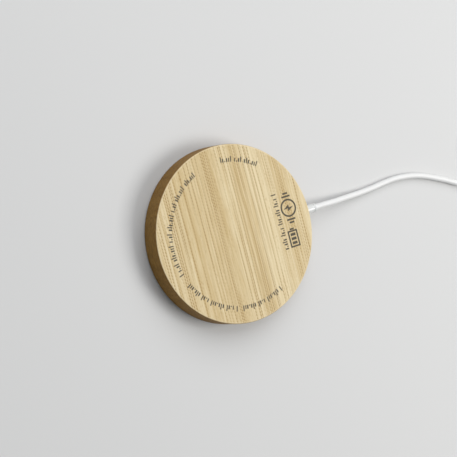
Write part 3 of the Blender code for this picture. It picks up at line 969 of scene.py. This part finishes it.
class PAD_OT_marks(Operator):
    """Plain printed marks on the back: rows of ticks, a charging sign and a battery sign"""

    bl_idname = "pad.marks"
    bl_label = "Printed marks"

    # Arcs of the ring of ticks, from one bearing to another
    arcs = ((55, 87), (114, 124), (128, 198), (208, 254), (260, 297))
    ring_radius = 24.8 * MM
    ring_foot = 24.0 * MM
    row_foot = 18.5 * MM
    row_span = (-10.2 * MM, 8.6 * MM)
    spacing = 0.78 * MM
    # Ticks as width and height in mm, taken in turn; none leaves a space
    tall, middling, broad, dot = (0.38, 1.9), (0.38, 1.3), (0.50, 1.3), (0.36, 0.5)
    ticks = (tall, middling, broad, dot, broad, tall, broad, None, tall, broad, dot, middling, None)
    film = 0.02 * MM
    corner = 0.1 * MM
    charging_place = Vector((22.2 * MM, 3.0 * MM, CASE_HIGH.z))
    battery_place = Vector((21.4 * MM, -7.5 * MM, CASE_HIGH.z))
    # Corners of the bolt in mm, its tips towards -X and +X
    bolt = ((2.05, 0.25), (-0.3, -1.15), (-0.3, -0.1), (-2.05, -0.25), (0.3, 1.15), (0.3, 0.1))

    def execute(self, context):
        marks = begin_empty("printed_marks")
        for first, last in self.arcs:
            self.arc_of_ticks(math.radians(first), math.radians(last))
        self.row_of_ticks()
        self.signal_bars(self.charging_place)
        pick_all()
        bpy.ops.mesh.bevel(offset=self.corner, segments=2, affect="VERTICES")
        self.battery_sign(self.battery_place)
        self.charging_sign(self.charging_place)
        pick_all()
        bpy.ops.transform.translate(value=(0.0, 0.0, -self.film / 2))
        extrude(z=self.film)
        close_up(marks)
        settle(marks, ink_material(context.scene.pad_case), "bamboo")
        return {"FINISHED"}

    def patch(self, width, height, centre, turned=0.0):
        """A flat patch of ink, its width and height in mm."""
        bpy.ops.mesh.primitive_plane_add(size=1.0, location=centre, rotation=(0.0, 0.0, turned))
        for value in ((width * MM, 1.0, 1.0), (1.0, height * MM, 1.0)):
            bpy.ops.transform.resize(
                value=value,
                orient_type="GLOBAL",
                orient_matrix=Quaternion((0.0, 0.0, 1.0), turned).to_matrix(),
                orient_matrix_type="GLOBAL",
                center_override=centre,
            )

    def tick(self, index, foot, up, turned):
        """One tick that stands on its foot."""
        size = self.ticks[index % len(self.ticks)]
        if size:
            width, height = size
            self.patch(width, height, foot + up * (height * MM / 2), turned)

    def arc_of_ticks(self, first, last):
        """Ticks that stand round the ring, feet inwards."""
        count = round((last - first) * self.ring_radius / self.spacing)
        for i in range(count + 1):
            bearing = first + (last - first) * i / count
            out = Vector((math.cos(bearing), math.sin(bearing), 0.0))
            foot = out * self.ring_foot + Vector((0.0, 0.0, CASE_HIGH.z))
            self.tick(i, foot, out, bearing - math.pi / 2)

    def row_of_ticks(self):
        """A straight row beside the signs."""
        low, high = self.row_span
        count = round((high - low) / self.spacing)
        for i in range(count + 1):
            foot = Vector((self.row_foot, low + (high - low) * i / count, CASE_HIGH.z))
            self.tick(i + 2, foot, Vector((-1.0, 0.0, 0.0)), math.pi / 2)

    def battery_sign(self, centre):
        """A battery: an outline, its terminal and three bars of charge."""
        length = 5.8
        bpy.ops.mesh.select_mode(type="FACE")
        self.patch(3.9, length, centre)
        inset(0.55 * MM)
        bpy.ops.mesh.delete(type="FACE")
        self.patch(1.7, 0.6, centre + Vector((0.0, (length / 2 + 0.4) * MM, 0.0)))
        for place in (-1.45, 0.0, 1.45):
            self.patch(2.0, 0.9, centre + Vector((0.0, place * MM, 0.0)))

    def signal_bars(self, centre):
        """Two straight bars on each side of the charging sign."""
        for side in (-1, 1):
            for reach, height in ((3.95, 3.4), (5.0, 2.0)):
                self.patch(height, 0.6, centre + Vector((0.0, side * reach * MM, 0.0)))

    def charging_sign(self, centre):
        """A lightning bolt inside a ring."""
        add_disc = bpy.ops.mesh.primitive_circle_add
        bpy.ops.mesh.select_all(action="DESELECT")
        add_disc(vertices=72, radius=3.1 * MM, fill_type="NGON", location=centre)
        inset(0.6 * MM)
        bpy.ops.mesh.delete(type="FACE")
        bpy.ops.mesh.select_mode(type="VERT")
        add_disc(vertices=len(self.bolt), radius=MM, fill_type="NGON", location=centre)
        shape = bmesh.from_edit_mesh(bpy.context.edit_object.data)
        corners = [vertex for vertex in shape.verts if vertex.select]
        for corner, (x, y) in zip(corners, self.bolt):
            corner.co = centre + Vector((x * MM, y * MM, 0.0))
        bmesh.update_edit_mesh(bpy.context.edit_object.data)


def ink_material(look):
    """Matt ink that thins out along the grain."""
    material, tree, shader = new_material("ink", Specular_IOR_Level=0.25)
    along = stretched_noise(tree, object_position(tree), INK_WEAR, 3.0, 0.7)
    thin = spread(tree, along, 0.45, 0.75, 0.0, 0.3)
    colour = blend_colours(tree, thin, rgba(look.ink_colour), rgba(look.fibres))
    wire_up(tree, shader, colour, spread(tree, along, 0.3, 0.7, 0.55, 0.75), along, 0.01)
    return material


class PAD_OT_charging_side(Operator):
    """Smooth cover of the charging side and its grooved grip ring"""

    bl_idname = "pad.charging_side"
    bl_label = "Charging side"

    facets = 192
    seat_gap = 0.3 * MM
    ring_width = 3.0 * MM
    # Rounded edge of the ring's face, as steps inwards and heights
    ring_edge = ((0.0, 0.15 * MM), (0.05 * MM, 0.04 * MM), (0.16 * MM, 0.0))
    grooves = 4
    groove_width = 0.22 * MM
    groove_depth = 0.12 * MM

    def execute(self, context):
        self.cover()
        self.grip_ring()
        return {"FINISHED"}

    def cover(self):
        """White disc with a seat for the grip ring and a faintly dished middle."""
        outer = COVER_HIGH.x
        low, high = COVER_LOW.z, COVER_HIGH.z
        seat_out = RING_HIGH.x + self.seat_gap
        seat_in = RING_HIGH.x - self.ring_width - self.seat_gap
        seat_top = RING_HIGH.z + self.seat_gap
        outline = (
            (0.0, high),
            (outer, high),
            (outer, low + 0.25 * MM),
            (outer - 0.08 * MM, low + 0.08 * MM),
            (outer - 0.25 * MM, low),
            (seat_out + 0.12 * MM, low),
            (seat_out, low + 0.12 * MM),
            (seat_out, seat_top),
            (seat_in, seat_top),
            (seat_in, low + 0.12 * MM),
            (seat_in - 0.12 * MM, low),
            (14.0 * MM, low + 0.03 * MM),
            (6.0 * MM, low + 0.06 * MM),
            (0.0, low + 0.07 * MM),
        )
        cover = turn("cover_of_charging_side", [(r, 0.0, z) for r, z in outline], self.facets)
        material = moulded_material("cover plastic", (0.80, 0.80, 0.79), 0.96, 9.0, (0.42, 0.52), 0.01)
        settle(cover, material, "cover_plastic", "charging_cover")

    def grip_ring(self):
        """Soft ring with concentric grooves on its face."""
        outer = RING_HIGH.x
        inner = outer - self.ring_width
        top = RING_HIGH.z
        half = self.groove_width / 2
        outline = [(inner, top), *((inner + step, z) for step, z in self.ring_edge)]
        for i in range(self.grooves):
            middle = inner + self.ring_width * (i + 1) / (self.grooves + 1)
            outline += [
                (middle - half, 0.0),
                (middle - half * 0.6, self.groove_depth),
                (middle + half * 0.6, self.groove_depth),
                (middle + half, 0.0),
            ]
        outline += [*((outer - step, z) for step, z in reversed(self.ring_edge)), (outer, top)]
        ring = turn("ring_of_grip_rubber", [(r, 0.0, z) for r, z in outline], self.facets, closed=True)
        material = moulded_material("grip rubber", (0.42, 0.42, 0.42), 0.85, 12.0, (0.72, 0.88), 0.02)
        settle(ring, material, "grip_rubber", "grip_ring")


class PAD_OT_collar(Operator):
    """Collar and strain relief where the cord leaves the case"""

    bl_idname = "pad.collar"
    bl_label = "Cord collar"

    # (distance from the pad's axis, radius) in mm: inner flange, neck, tapered collar, rolled lip
    outline = (
        (25.4, 0.0), (25.4, 2.15), (25.55, 2.3), (26.75, 2.3), (26.9, 2.15), (26.9, 1.45), (27.0, 1.35),
        (29.95, 1.35), (30.0, 1.62), (30.12, 1.74), (30.35, 1.77), (31.3, 1.70), (32.6, 1.60),
        (33.9, 1.51), (34.15, 1.51), (34.27, 1.58), (34.42, 1.64), (34.72, 1.64), (34.90, 1.56),
        (34.98, 1.42), (34.98, 1.10), (34.80, 1.02), (34.30, 1.01), (34.20, 0.0),
    )
    colour = (0.70, 0.715, 0.705)

    def execute(self, context):
        points = [(x * MM, 0.0, EXIT_HEIGHT + radius * MM) for x, radius in self.outline]
        collar = turn("cord_collar", points, 64, (0.0, 0.0, EXIT_HEIGHT), (1.0, 0.0, 0.0), angle=50)
        gloss = {"Coat_Weight": 0.3, "Coat_Roughness": 0.1}
        material = moulded_material("strain plastic", self.colour, 0.93, 3.0, (0.16, 0.26), 0.004, **gloss)
        settle(collar, material, "strain_plastic", "strain_relief")
        return {"FINISHED"}


class PAD_OT_strap(Operator):
    """Woven strap round the stored coil, lapped over itself"""

    bl_idname = "pad.strap"
    bl_label = "Strap"

    thickness = 0.4 * MM
    lap = 0.35 * MM
    half_lap = 1.9 * MM
    corner = 1.1 * MM
    lap_break = 0.12 * MM

    def execute(self, context):
        middle = (STRAP_LOW + STRAP_HIGH) / 2
        top = STRAP_HIGH.z
        strap = begin_block("cord_strap", STRAP_LOW, STRAP_HIGH)
        pick_faces(lambda face: abs(face.normal.x) > 0.9)
        bpy.ops.mesh.delete(type="FACE")
        pick_edges(runs_along(0))
        bevel(self.corner, 6)
        for place in (-self.half_lap, self.half_lap):
            pick_all()
            bpy.ops.mesh.bisect(plane_co=(0.0, middle.y + place, 0.0), plane_no=(0.0, 1.0, 0.0))
        close_up(strap, 60)
        thicken(strap, self.thickness)
        pick_faces(lambda face: self.is_lap(face, middle.y, top))
        extrude(z=self.lap)
        pick_edges(both(lambda point: point.z > top + self.lap / 2))
        bevel(self.lap_break, 2)
        close_up(strap, 50)
        colour = context.scene.pad_plug.strap_colour
        settle(strap, woven_material("strap", colour), "strap", "cord_tie")
        return {"FINISHED"}

    def is_lap(self, face, middle, top):
        """True for the faces on top of the strap that its end laps over."""
        centre = face.calc_center_median()
        return face.normal.z > 0.9 and near(centre.z, top) and abs(centre.y - middle) < self.half_lap


def woven_group():
    """Over-and-under threads: across along X, and along the strap's own run, with painted shade where no
    thread rises.
    """
    group, start, end = make_group(
        "woven threads",
        (
            ("Position", VECTOR, None),
            ("Pitch", NUMBER, 0.3),
            ("Colour", COLOUR, (0.7, 0.7, 0.7, 1.0)),
            ("Shade", COLOUR, (0.4, 0.4, 0.4, 1.0)),
        ),
        (("Colour", COLOUR), ("Height", NUMBER)),
    )
    place = start.outputs["Position"]
    axes = axes_of(group, place)
    turns = math_node(group, "DIVIDE", math.pi, start.outputs["Pitch"])
    run = math_node(group, "ADD", axes["Y"], axes["Z"])
    across = math_node(group, "SINE", times(group, axes["X"], turns))
    along = math_node(group, "SINE", times(group, run, turns))
    over = spread(group, times(group, across, along), -0.15, 0.15)
    warp = times(group, math_node(group, "ABSOLUTE", across), over)
    weft = times(group, math_node(group, "ABSOLUTE", along), minus(group, 1.0, over))
    fuzz = noise(group, place, 14.0, 3.0, 0.6)
    mask = summed(group, (math_node(group, "ADD", warp, weft), 0.8), (fuzz, 0.3))
    # Painted shade: the colour darkens where the threads dip under each other.
    colour = blend_colours(group, mask, start.outputs["Shade"], start.outputs["Colour"])
    return end_group(group, end, Colour=colour, Height=mask)


def woven_material(name, colour):
    """Woven textile tape, with painted shade between its threads."""
    material, tree, shader = new_material(name, Sheen_Weight=0.25)
    # The dim Shade colour is painted shade between the threads.
    values = {"Pitch": 0.32, "Colour": rgba(colour), "Shade": rgba(colour, 0.45)}
    weave = use_group(tree, woven_group(), object_position(tree), **values)
    wire_up(tree, shader, weave["Colour"], 0.85, weave["Height"], 0.06)
    return material


class PAD_OT_plug(Operator):
    """Moulded grip with a ribbed boot, metal shell, liner and contacts"""

    bl_idname = "pad.plug"
    bl_label = "Plug"

    shoulder = 6.4 * MM
    shoulder_break = 0.2 * MM
    shoulder_steps = ((0.5 * MM, 0.35 * MM), (0.9 * MM, 0.45 * MM))  # inset and height of each
    corner = 2.4 * MM
    front_break = 0.7 * MM
    front_inset = 0.8 * MM
    front_depth = 0.1 * MM
    ribs = 4
    finger_grooves = 3
    groove_start = 4.2 * MM
    groove_pitch = 1.5 * MM
    groove_radius = 1.2 * MM
    groove_length = 5.2 * MM
    groove_axis = 4.0 * MM  # from the middle of the grip
    groove_break = 0.5 * MM
    flat = 0.06 * MM  # what stays flat between the two roundings of an end
    shell_break = 0.09 * MM
    liner_break = 0.06 * MM
    liner_wall = 0.42 * MM
    contact_pitch = 0.5 * MM

    def execute(self, context):
        look = context.scene.pad_plug
        self.grip(look)
        self.shell(look)
        self.liner(look)
        self.contacts(look)
        return {"FINISHED"}

    def grip(self, look):
        """Rounded block with a stepped shoulder, welded to the boot."""
        low, high = PLUG_LOW, PLUG_HIGH
        axis_x = (low.x + high.x) / 2
        axis_z = (low.z + high.z) / 2
        start = low.y + self.shoulder
        grip = begin_block("plug_grip", Vector((low.x, start, low.z)), high)
        pick_edges(runs_along(1))
        bevel(self.corner, 8)
        pick_faces(lambda face: face.normal.y < -0.9)
        for inwards, height in self.shoulder_steps:
            inset(inwards)
            extrude(y=-height)
        pick_edges(both(lambda point: near(point.y, high.y)))
        bevel(self.front_break, 5)
        pick_outline(end_face(-1, start))
        bevel(self.shoulder_break, 3)
        pick_faces(end_face(1, high.y))
        inset(self.front_inset)
        extrude(y=-self.front_depth)
        close_up(grip, 40)
        self.press_grooves(grip, axis_x, axis_z, start)
        combine(grip, self.boot(low.y, axis_x, axis_z), "UNION")
        even_shading(grip, 40)
        material = moulded_material("plug plastic", look.grip_colour, 0.97, 7.0, (0.30, 0.42), 0.008)
        settle(grip, material, "plug_plastic", "plug_body")

    def press_grooves(self, grip, axis_x, axis_z, start):
        """Finger grooves across each broad face."""
        for side in (-1, 1):
            for i in range(self.finger_grooves):
                y = start + self.groove_start + self.groove_pitch * i
                centre = (axis_x, y, axis_z + side * self.groove_axis)
                groove = begin_rod("groove", 32, self.groove_radius, self.groove_length, centre)
                pick_edges(both(lambda point: near(abs(point.x - axis_x), self.groove_length / 2)))
                bevel(self.groove_break, 3)
                combine(grip, groove, "DIFFERENCE")

    def boot(self, end, axis_x, axis_z):
        """Flexible sleeve with ribs towards the cord, from an outline of (radius, place) in mm."""
        outline = [(0.0, 0.5), (1.02, 0.5), (1.08, 0.0), (1.45, 0.0), (1.58, 0.12)]
        for i in range(self.ribs):
            base = 0.45 + i * 1.05
            radius = 1.60 + 0.12 * i
            outline += [
                (radius, base),
                (radius + 0.02, base + 0.38),
                (radius - 0.28, base + 0.50),
                (radius - 0.26, base + 0.82),
            ]
        outline += [(2.05, 4.7), (2.3, 5.4), (2.9, 6.1), (2.9, 7.4), (0.0, 7.4)]
        points = [(axis_x + radius * MM, end + place * MM, axis_z) for radius, place in outline]
        return turn("boot", points, 48, (axis_x, 0.0, axis_z), (0.0, 1.0, 0.0))

    def shell(self, look):
        """Drawn metal shell with round ends and a rolled front rim."""
        low, high = SHELL_LOW, SHELL_HIGH
        shell = begin_block("plug_shell_of_steel", low, high)
        pick_faces(lambda face: abs(face.normal.y) > 0.9)
        bpy.ops.mesh.delete(type="FACE")
        pick_edges(runs_along(1))
        bevel((high.z - low.z) / 2 - self.flat, 8)
        close_up(shell, 40)
        thicken(shell, look.wall)
        pick_outline(lambda face: face.normal.y > 0.99)
        bevel(self.shell_break, 2, slide=False)
        close_up(shell, 40)
        steel = (0.66, 0.66, 0.67)
        material = moulded_material("plug steel", steel, 0.9, 10.0, (0.18, 0.30), 0.003, metallic=1.0)
        settle(shell, material, "plug_steel", "plug_shell")

    def liner(self, look):
        """Dark liner with the slot that takes the contacts."""
        low, high = LINER_LOW, LINER_HIGH
        liner = begin_block("plug_liner", low, high)
        pick_edges(runs_along(1))
        bevel((high.z - low.z) / 2 - self.flat, 8)
        pick_faces(lambda face: face.normal.y > 0.9)
        inset(self.liner_wall)
        extrude(y=-look.slot)
        pick_outline(end_face(1, high.y))
        bevel(self.liner_break, 2, slide=False)
        close_up(liner, 40)
        material = moulded_material("liner plastic", (0.025, 0.025, 0.027), 0.7, 8.0, (0.45, 0.6), 0.01)
        settle(liner, material, "insert_plastic", "plug_insert")

    def contacts(self, look):
        """Two rows of gold spring contacts in the slot."""
        middle = (LINER_LOW + LINER_HIGH) / 2
        contacts = begin_empty("plug_contacts")
        for side in (-1, 1):
            for i in range(look.contacts):
                x = middle.x + (i - (look.contacts - 1) / 2) * self.contact_pitch
                self.contact(x, LINER_HIGH.y, middle.z, side)
        pick_all()
        bevel(0.02 * MM, 1)
        close_up(contacts)
        gold = (0.83, 0.60, 0.24)
        material = moulded_material("gold plating", gold, 0.85, 20.0, (0.2, 0.32), 0.002, metallic=1.0)
        settle(contacts, material, "plug_steel")

    def contact(self, x, front, middle, side):
        """One contact: a flat strip whose tip dips towards the middle of the slot."""
        wall = middle + side * 0.40 * MM
        strip = ((x, front - 2.6 * MM, wall), (0.24 * MM, 3.6 * MM, 0.06 * MM))
        tip = ((x, front - 1.0 * MM, wall - side * 0.05 * MM), (0.20 * MM, 0.5 * MM, 0.09 * MM))
        for place, size in (strip, tip):
            bpy.ops.mesh.primitive_cube_add(size=1.0, location=place, scale=size)


# Inside ---------------------------------------------------


class PAD_OT_inside(Operator):
    """Finishes of the pieces inside the pad"""

    bl_idname = "pad.inside"
    bl_label = "Inside"

    magnets = [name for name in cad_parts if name.startswith("magnet_") and name != "magnet_yoke"]
    chips = ("controller_chip", "bridge_chip_1", "bridge_chip_2", "regulator_chip")
    # Nodes, and their finish: name, colour, shade, grain, roughness, relief in mm and metal
    finishes = (
        (("cover_tape",), "tape", (0.70, 0.66, 0.50), 0.85, 4.0, (0.4, 0.6), 0.01),
        (("coil_carrier",), "tray plastic", (0.06, 0.06, 0.065), 0.85, 5.0, (0.4, 0.55), 0.02),
        (("ferrite_disc",), "ferrite", (0.06, 0.06, 0.065), 0.6, 14.0, (0.5, 0.8), 0.03),
        (magnets, "magnet plating", (0.66, 0.66, 0.64), 0.85, 9.0, (0.15, 0.3), 0.003, 1.0),
        (("magnet_yoke",), "yoke steel", (0.46, 0.47, 0.48), 0.8, 6.0, (0.25, 0.45), 0.01, 1.0),
        (("insulating_film",), "insulating film", (0.60, 0.33, 0.05), 0.85, 2.0, (0.15, 0.3), 0.004),
        (chips, "chip epoxy", (0.022, 0.022, 0.024), 0.6, 18.0, (0.45, 0.65), 0.01),
        (("coil_thermistor",), "sensor bead", (0.05, 0.03, 0.018), 0.7, 6.0, (0.2, 0.4), 0.01),
    )
    insulation = {
        "wire_power": (0.52, 0.02, 0.02),
        "wire_ground": (0.018, 0.018, 0.018),
        "wire_data_plus": (0.02, 0.28, 0.07),
        "wire_data_minus": (0.74, 0.74, 0.72),
        "thermistor_lead": (0.74, 0.74, 0.72),
    }
    blocks = {"current_sense_resistor": (0.02, 0.02, 0.022), "power_inductor": (0.12, 0.12, 0.125)}
    capacitor_colour = (0.36, 0.24, 0.13)

    def execute(self, context):
        for nodes, *finish in self.finishes:
            material = moulded_material(*finish)
            for node in nodes:
                self.dress(node, material)
        for node, colour in self.insulation.items():
            name = node.replace("_", " ")
            self.dress(node, moulded_material(name, colour, 0.9, 7.0, (0.3, 0.45), 0.004))
        for node, colour in self.blocks.items():
            self.dress(node, capped_material(node, colour))
        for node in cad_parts:
            if "capacitor" in node:
                self.dress(node, capped_material(node, self.capacitor_colour))
        self.dress("circuit_board", board_material())
        self.dress("transmitter_coil", litz_material())
        return {"FINISHED"}

    def dress(self, node, material):
        """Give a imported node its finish."""
        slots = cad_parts[node].data.materials
        slots.clear()
        slots.append(material)


def capped_material(node, colour):
    """A ceramic block with a metal cap on each end along X."""
    low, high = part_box(node)
    middle = (low.x + high.x) / 2 / MM
    half = (high.x - low.x) / 2 / MM
    material, tree, shader = new_material(node.replace("_", " "))
    place = object_position(tree)
    skin = moulded_surface(tree, place, colour, 0.8, 10.0, (0.3, 0.45))
    away = math_node(tree, "ABSOLUTE", minus(tree, axes_of(tree, place)["X"], middle))
    cap = spread(tree, away, half - 0.55, half - 0.5)
    colour = blend_colours(tree, cap, skin["Colour"], (0.70, 0.69, 0.66, 1.0))
    tree.links.new(cap, shader.inputs["Metallic"])
    wire_up(tree, shader, colour, skin["Roughness"], skin["Height"], 0.01)
    return material


def board_material():
    """Solder mask with traces that show through it."""
    material, tree, shader = new_material("circuit board", Specular_IOR_Level=0.5)
    place = object_position(tree)
    lanes = tree.nodes.new("ShaderNodeTexVoronoi")
    lanes.feature = "DISTANCE_TO_EDGE"
    lanes.inputs["Scale"].default_value = 0.32
    lanes.inputs["Randomness"].default_value = 0.55
    tree.links.new(place, lanes.inputs["Vector"])
    ripple = math_node(tree, "FRACT", times(tree, lanes.outputs["Distance"], 7.0))
    trace = spread(tree, math_node(tree, "ABSOLUTE", minus(tree, ripple, 0.5)), 0.20, 0.26)
    colour = blend_colours(tree, trace, (0.012, 0.12, 0.05, 1.0), (0.03, 0.22, 0.09, 1.0))
    roughness = spread(tree, noise(tree, place, 5.0, 3.0), 0.3, 0.7, 0.28, 0.42)
    wire_up(tree, shader, colour, roughness, trace, 0.02)
    return material


def litz_material():
    """Bundle of fine enamelled strands."""
    material, tree, shader = new_material("litz wire", metallic=1.0)
    strands = tree.nodes.new("ShaderNodeTexWave")
    strands.wave_type = "RINGS"
    strands.rings_direction = "Z"
    strands.inputs["Scale"].default_value = 1.8
    strands.inputs["Distortion"].default_value = 1.2
    strands.inputs["Detail Scale"].default_value = 1.5
    tree.links.new(object_position(tree), strands.inputs["Vector"])
    wave = strands.outputs["Fac"]
    colour = blend_colours(tree, wave, (0.30, 0.11, 0.04, 1.0), (0.70, 0.34, 0.16, 1.0))
    wire_up(tree, shader, colour, spread(tree, wave, 0.0, 1.0, 0.5, 0.3), wave, 0.04)
    return material


# Add-on ---------------------------------------------------


OPERATORS = (
    PAD_OT_stage,
    PAD_OT_case,
    PAD_OT_marks,
    PAD_OT_charging_side,
    PAD_OT_collar,
    PAD_OT_strap,
    PAD_OT_plug,
    PAD_OT_cord,
    PAD_OT_inside,
)


class PAD_PT_panel(Panel):
    """Sidebar list of the pad's pieces"""

    bl_idname = "PAD_PT_panel"
    bl_label = "Charging pad"
    bl_space_type = "VIEW_3D"
    bl_region_type = "UI"
    bl_category = "Charging pad"

    def draw(self, context):
        for operator in OPERATORS:
            self.layout.operator(operator.bl_idname)
        for name in SETTINGS:
            settings = getattr(context.scene, name)
            box = self.layout.box()
            for label in settings.bl_rna.properties.keys():
                if label not in ("rna_type", "name"):
                    box.prop(settings, label)


def register():
    """Make the settings, operators and panel known to Blender."""
    for name, settings in SETTINGS.items():
        bpy.utils.register_class(settings)
        setattr(bpy.types.Scene, name, PointerProperty(type=settings))
    for operator in OPERATORS:
        bpy.utils.register_class(operator)
    bpy.utils.register_class(PAD_PT_panel)


def unregister():
    """Take them away again."""
    bpy.utils.unregister_class(PAD_PT_panel)
    for operator in reversed(OPERATORS):
        bpy.utils.unregister_class(operator)
    for name, settings in SETTINGS.items():
        delattr(bpy.types.Scene, name)
        bpy.utils.unregister_class(settings)


def main():
    """Build every piece in order."""
    register()
    for operator in OPERATORS:
        group, call = operator.bl_idname.split(".")
        getattr(getattr(bpy.ops, group), call)()


if __name__ == "__main__":
    main()
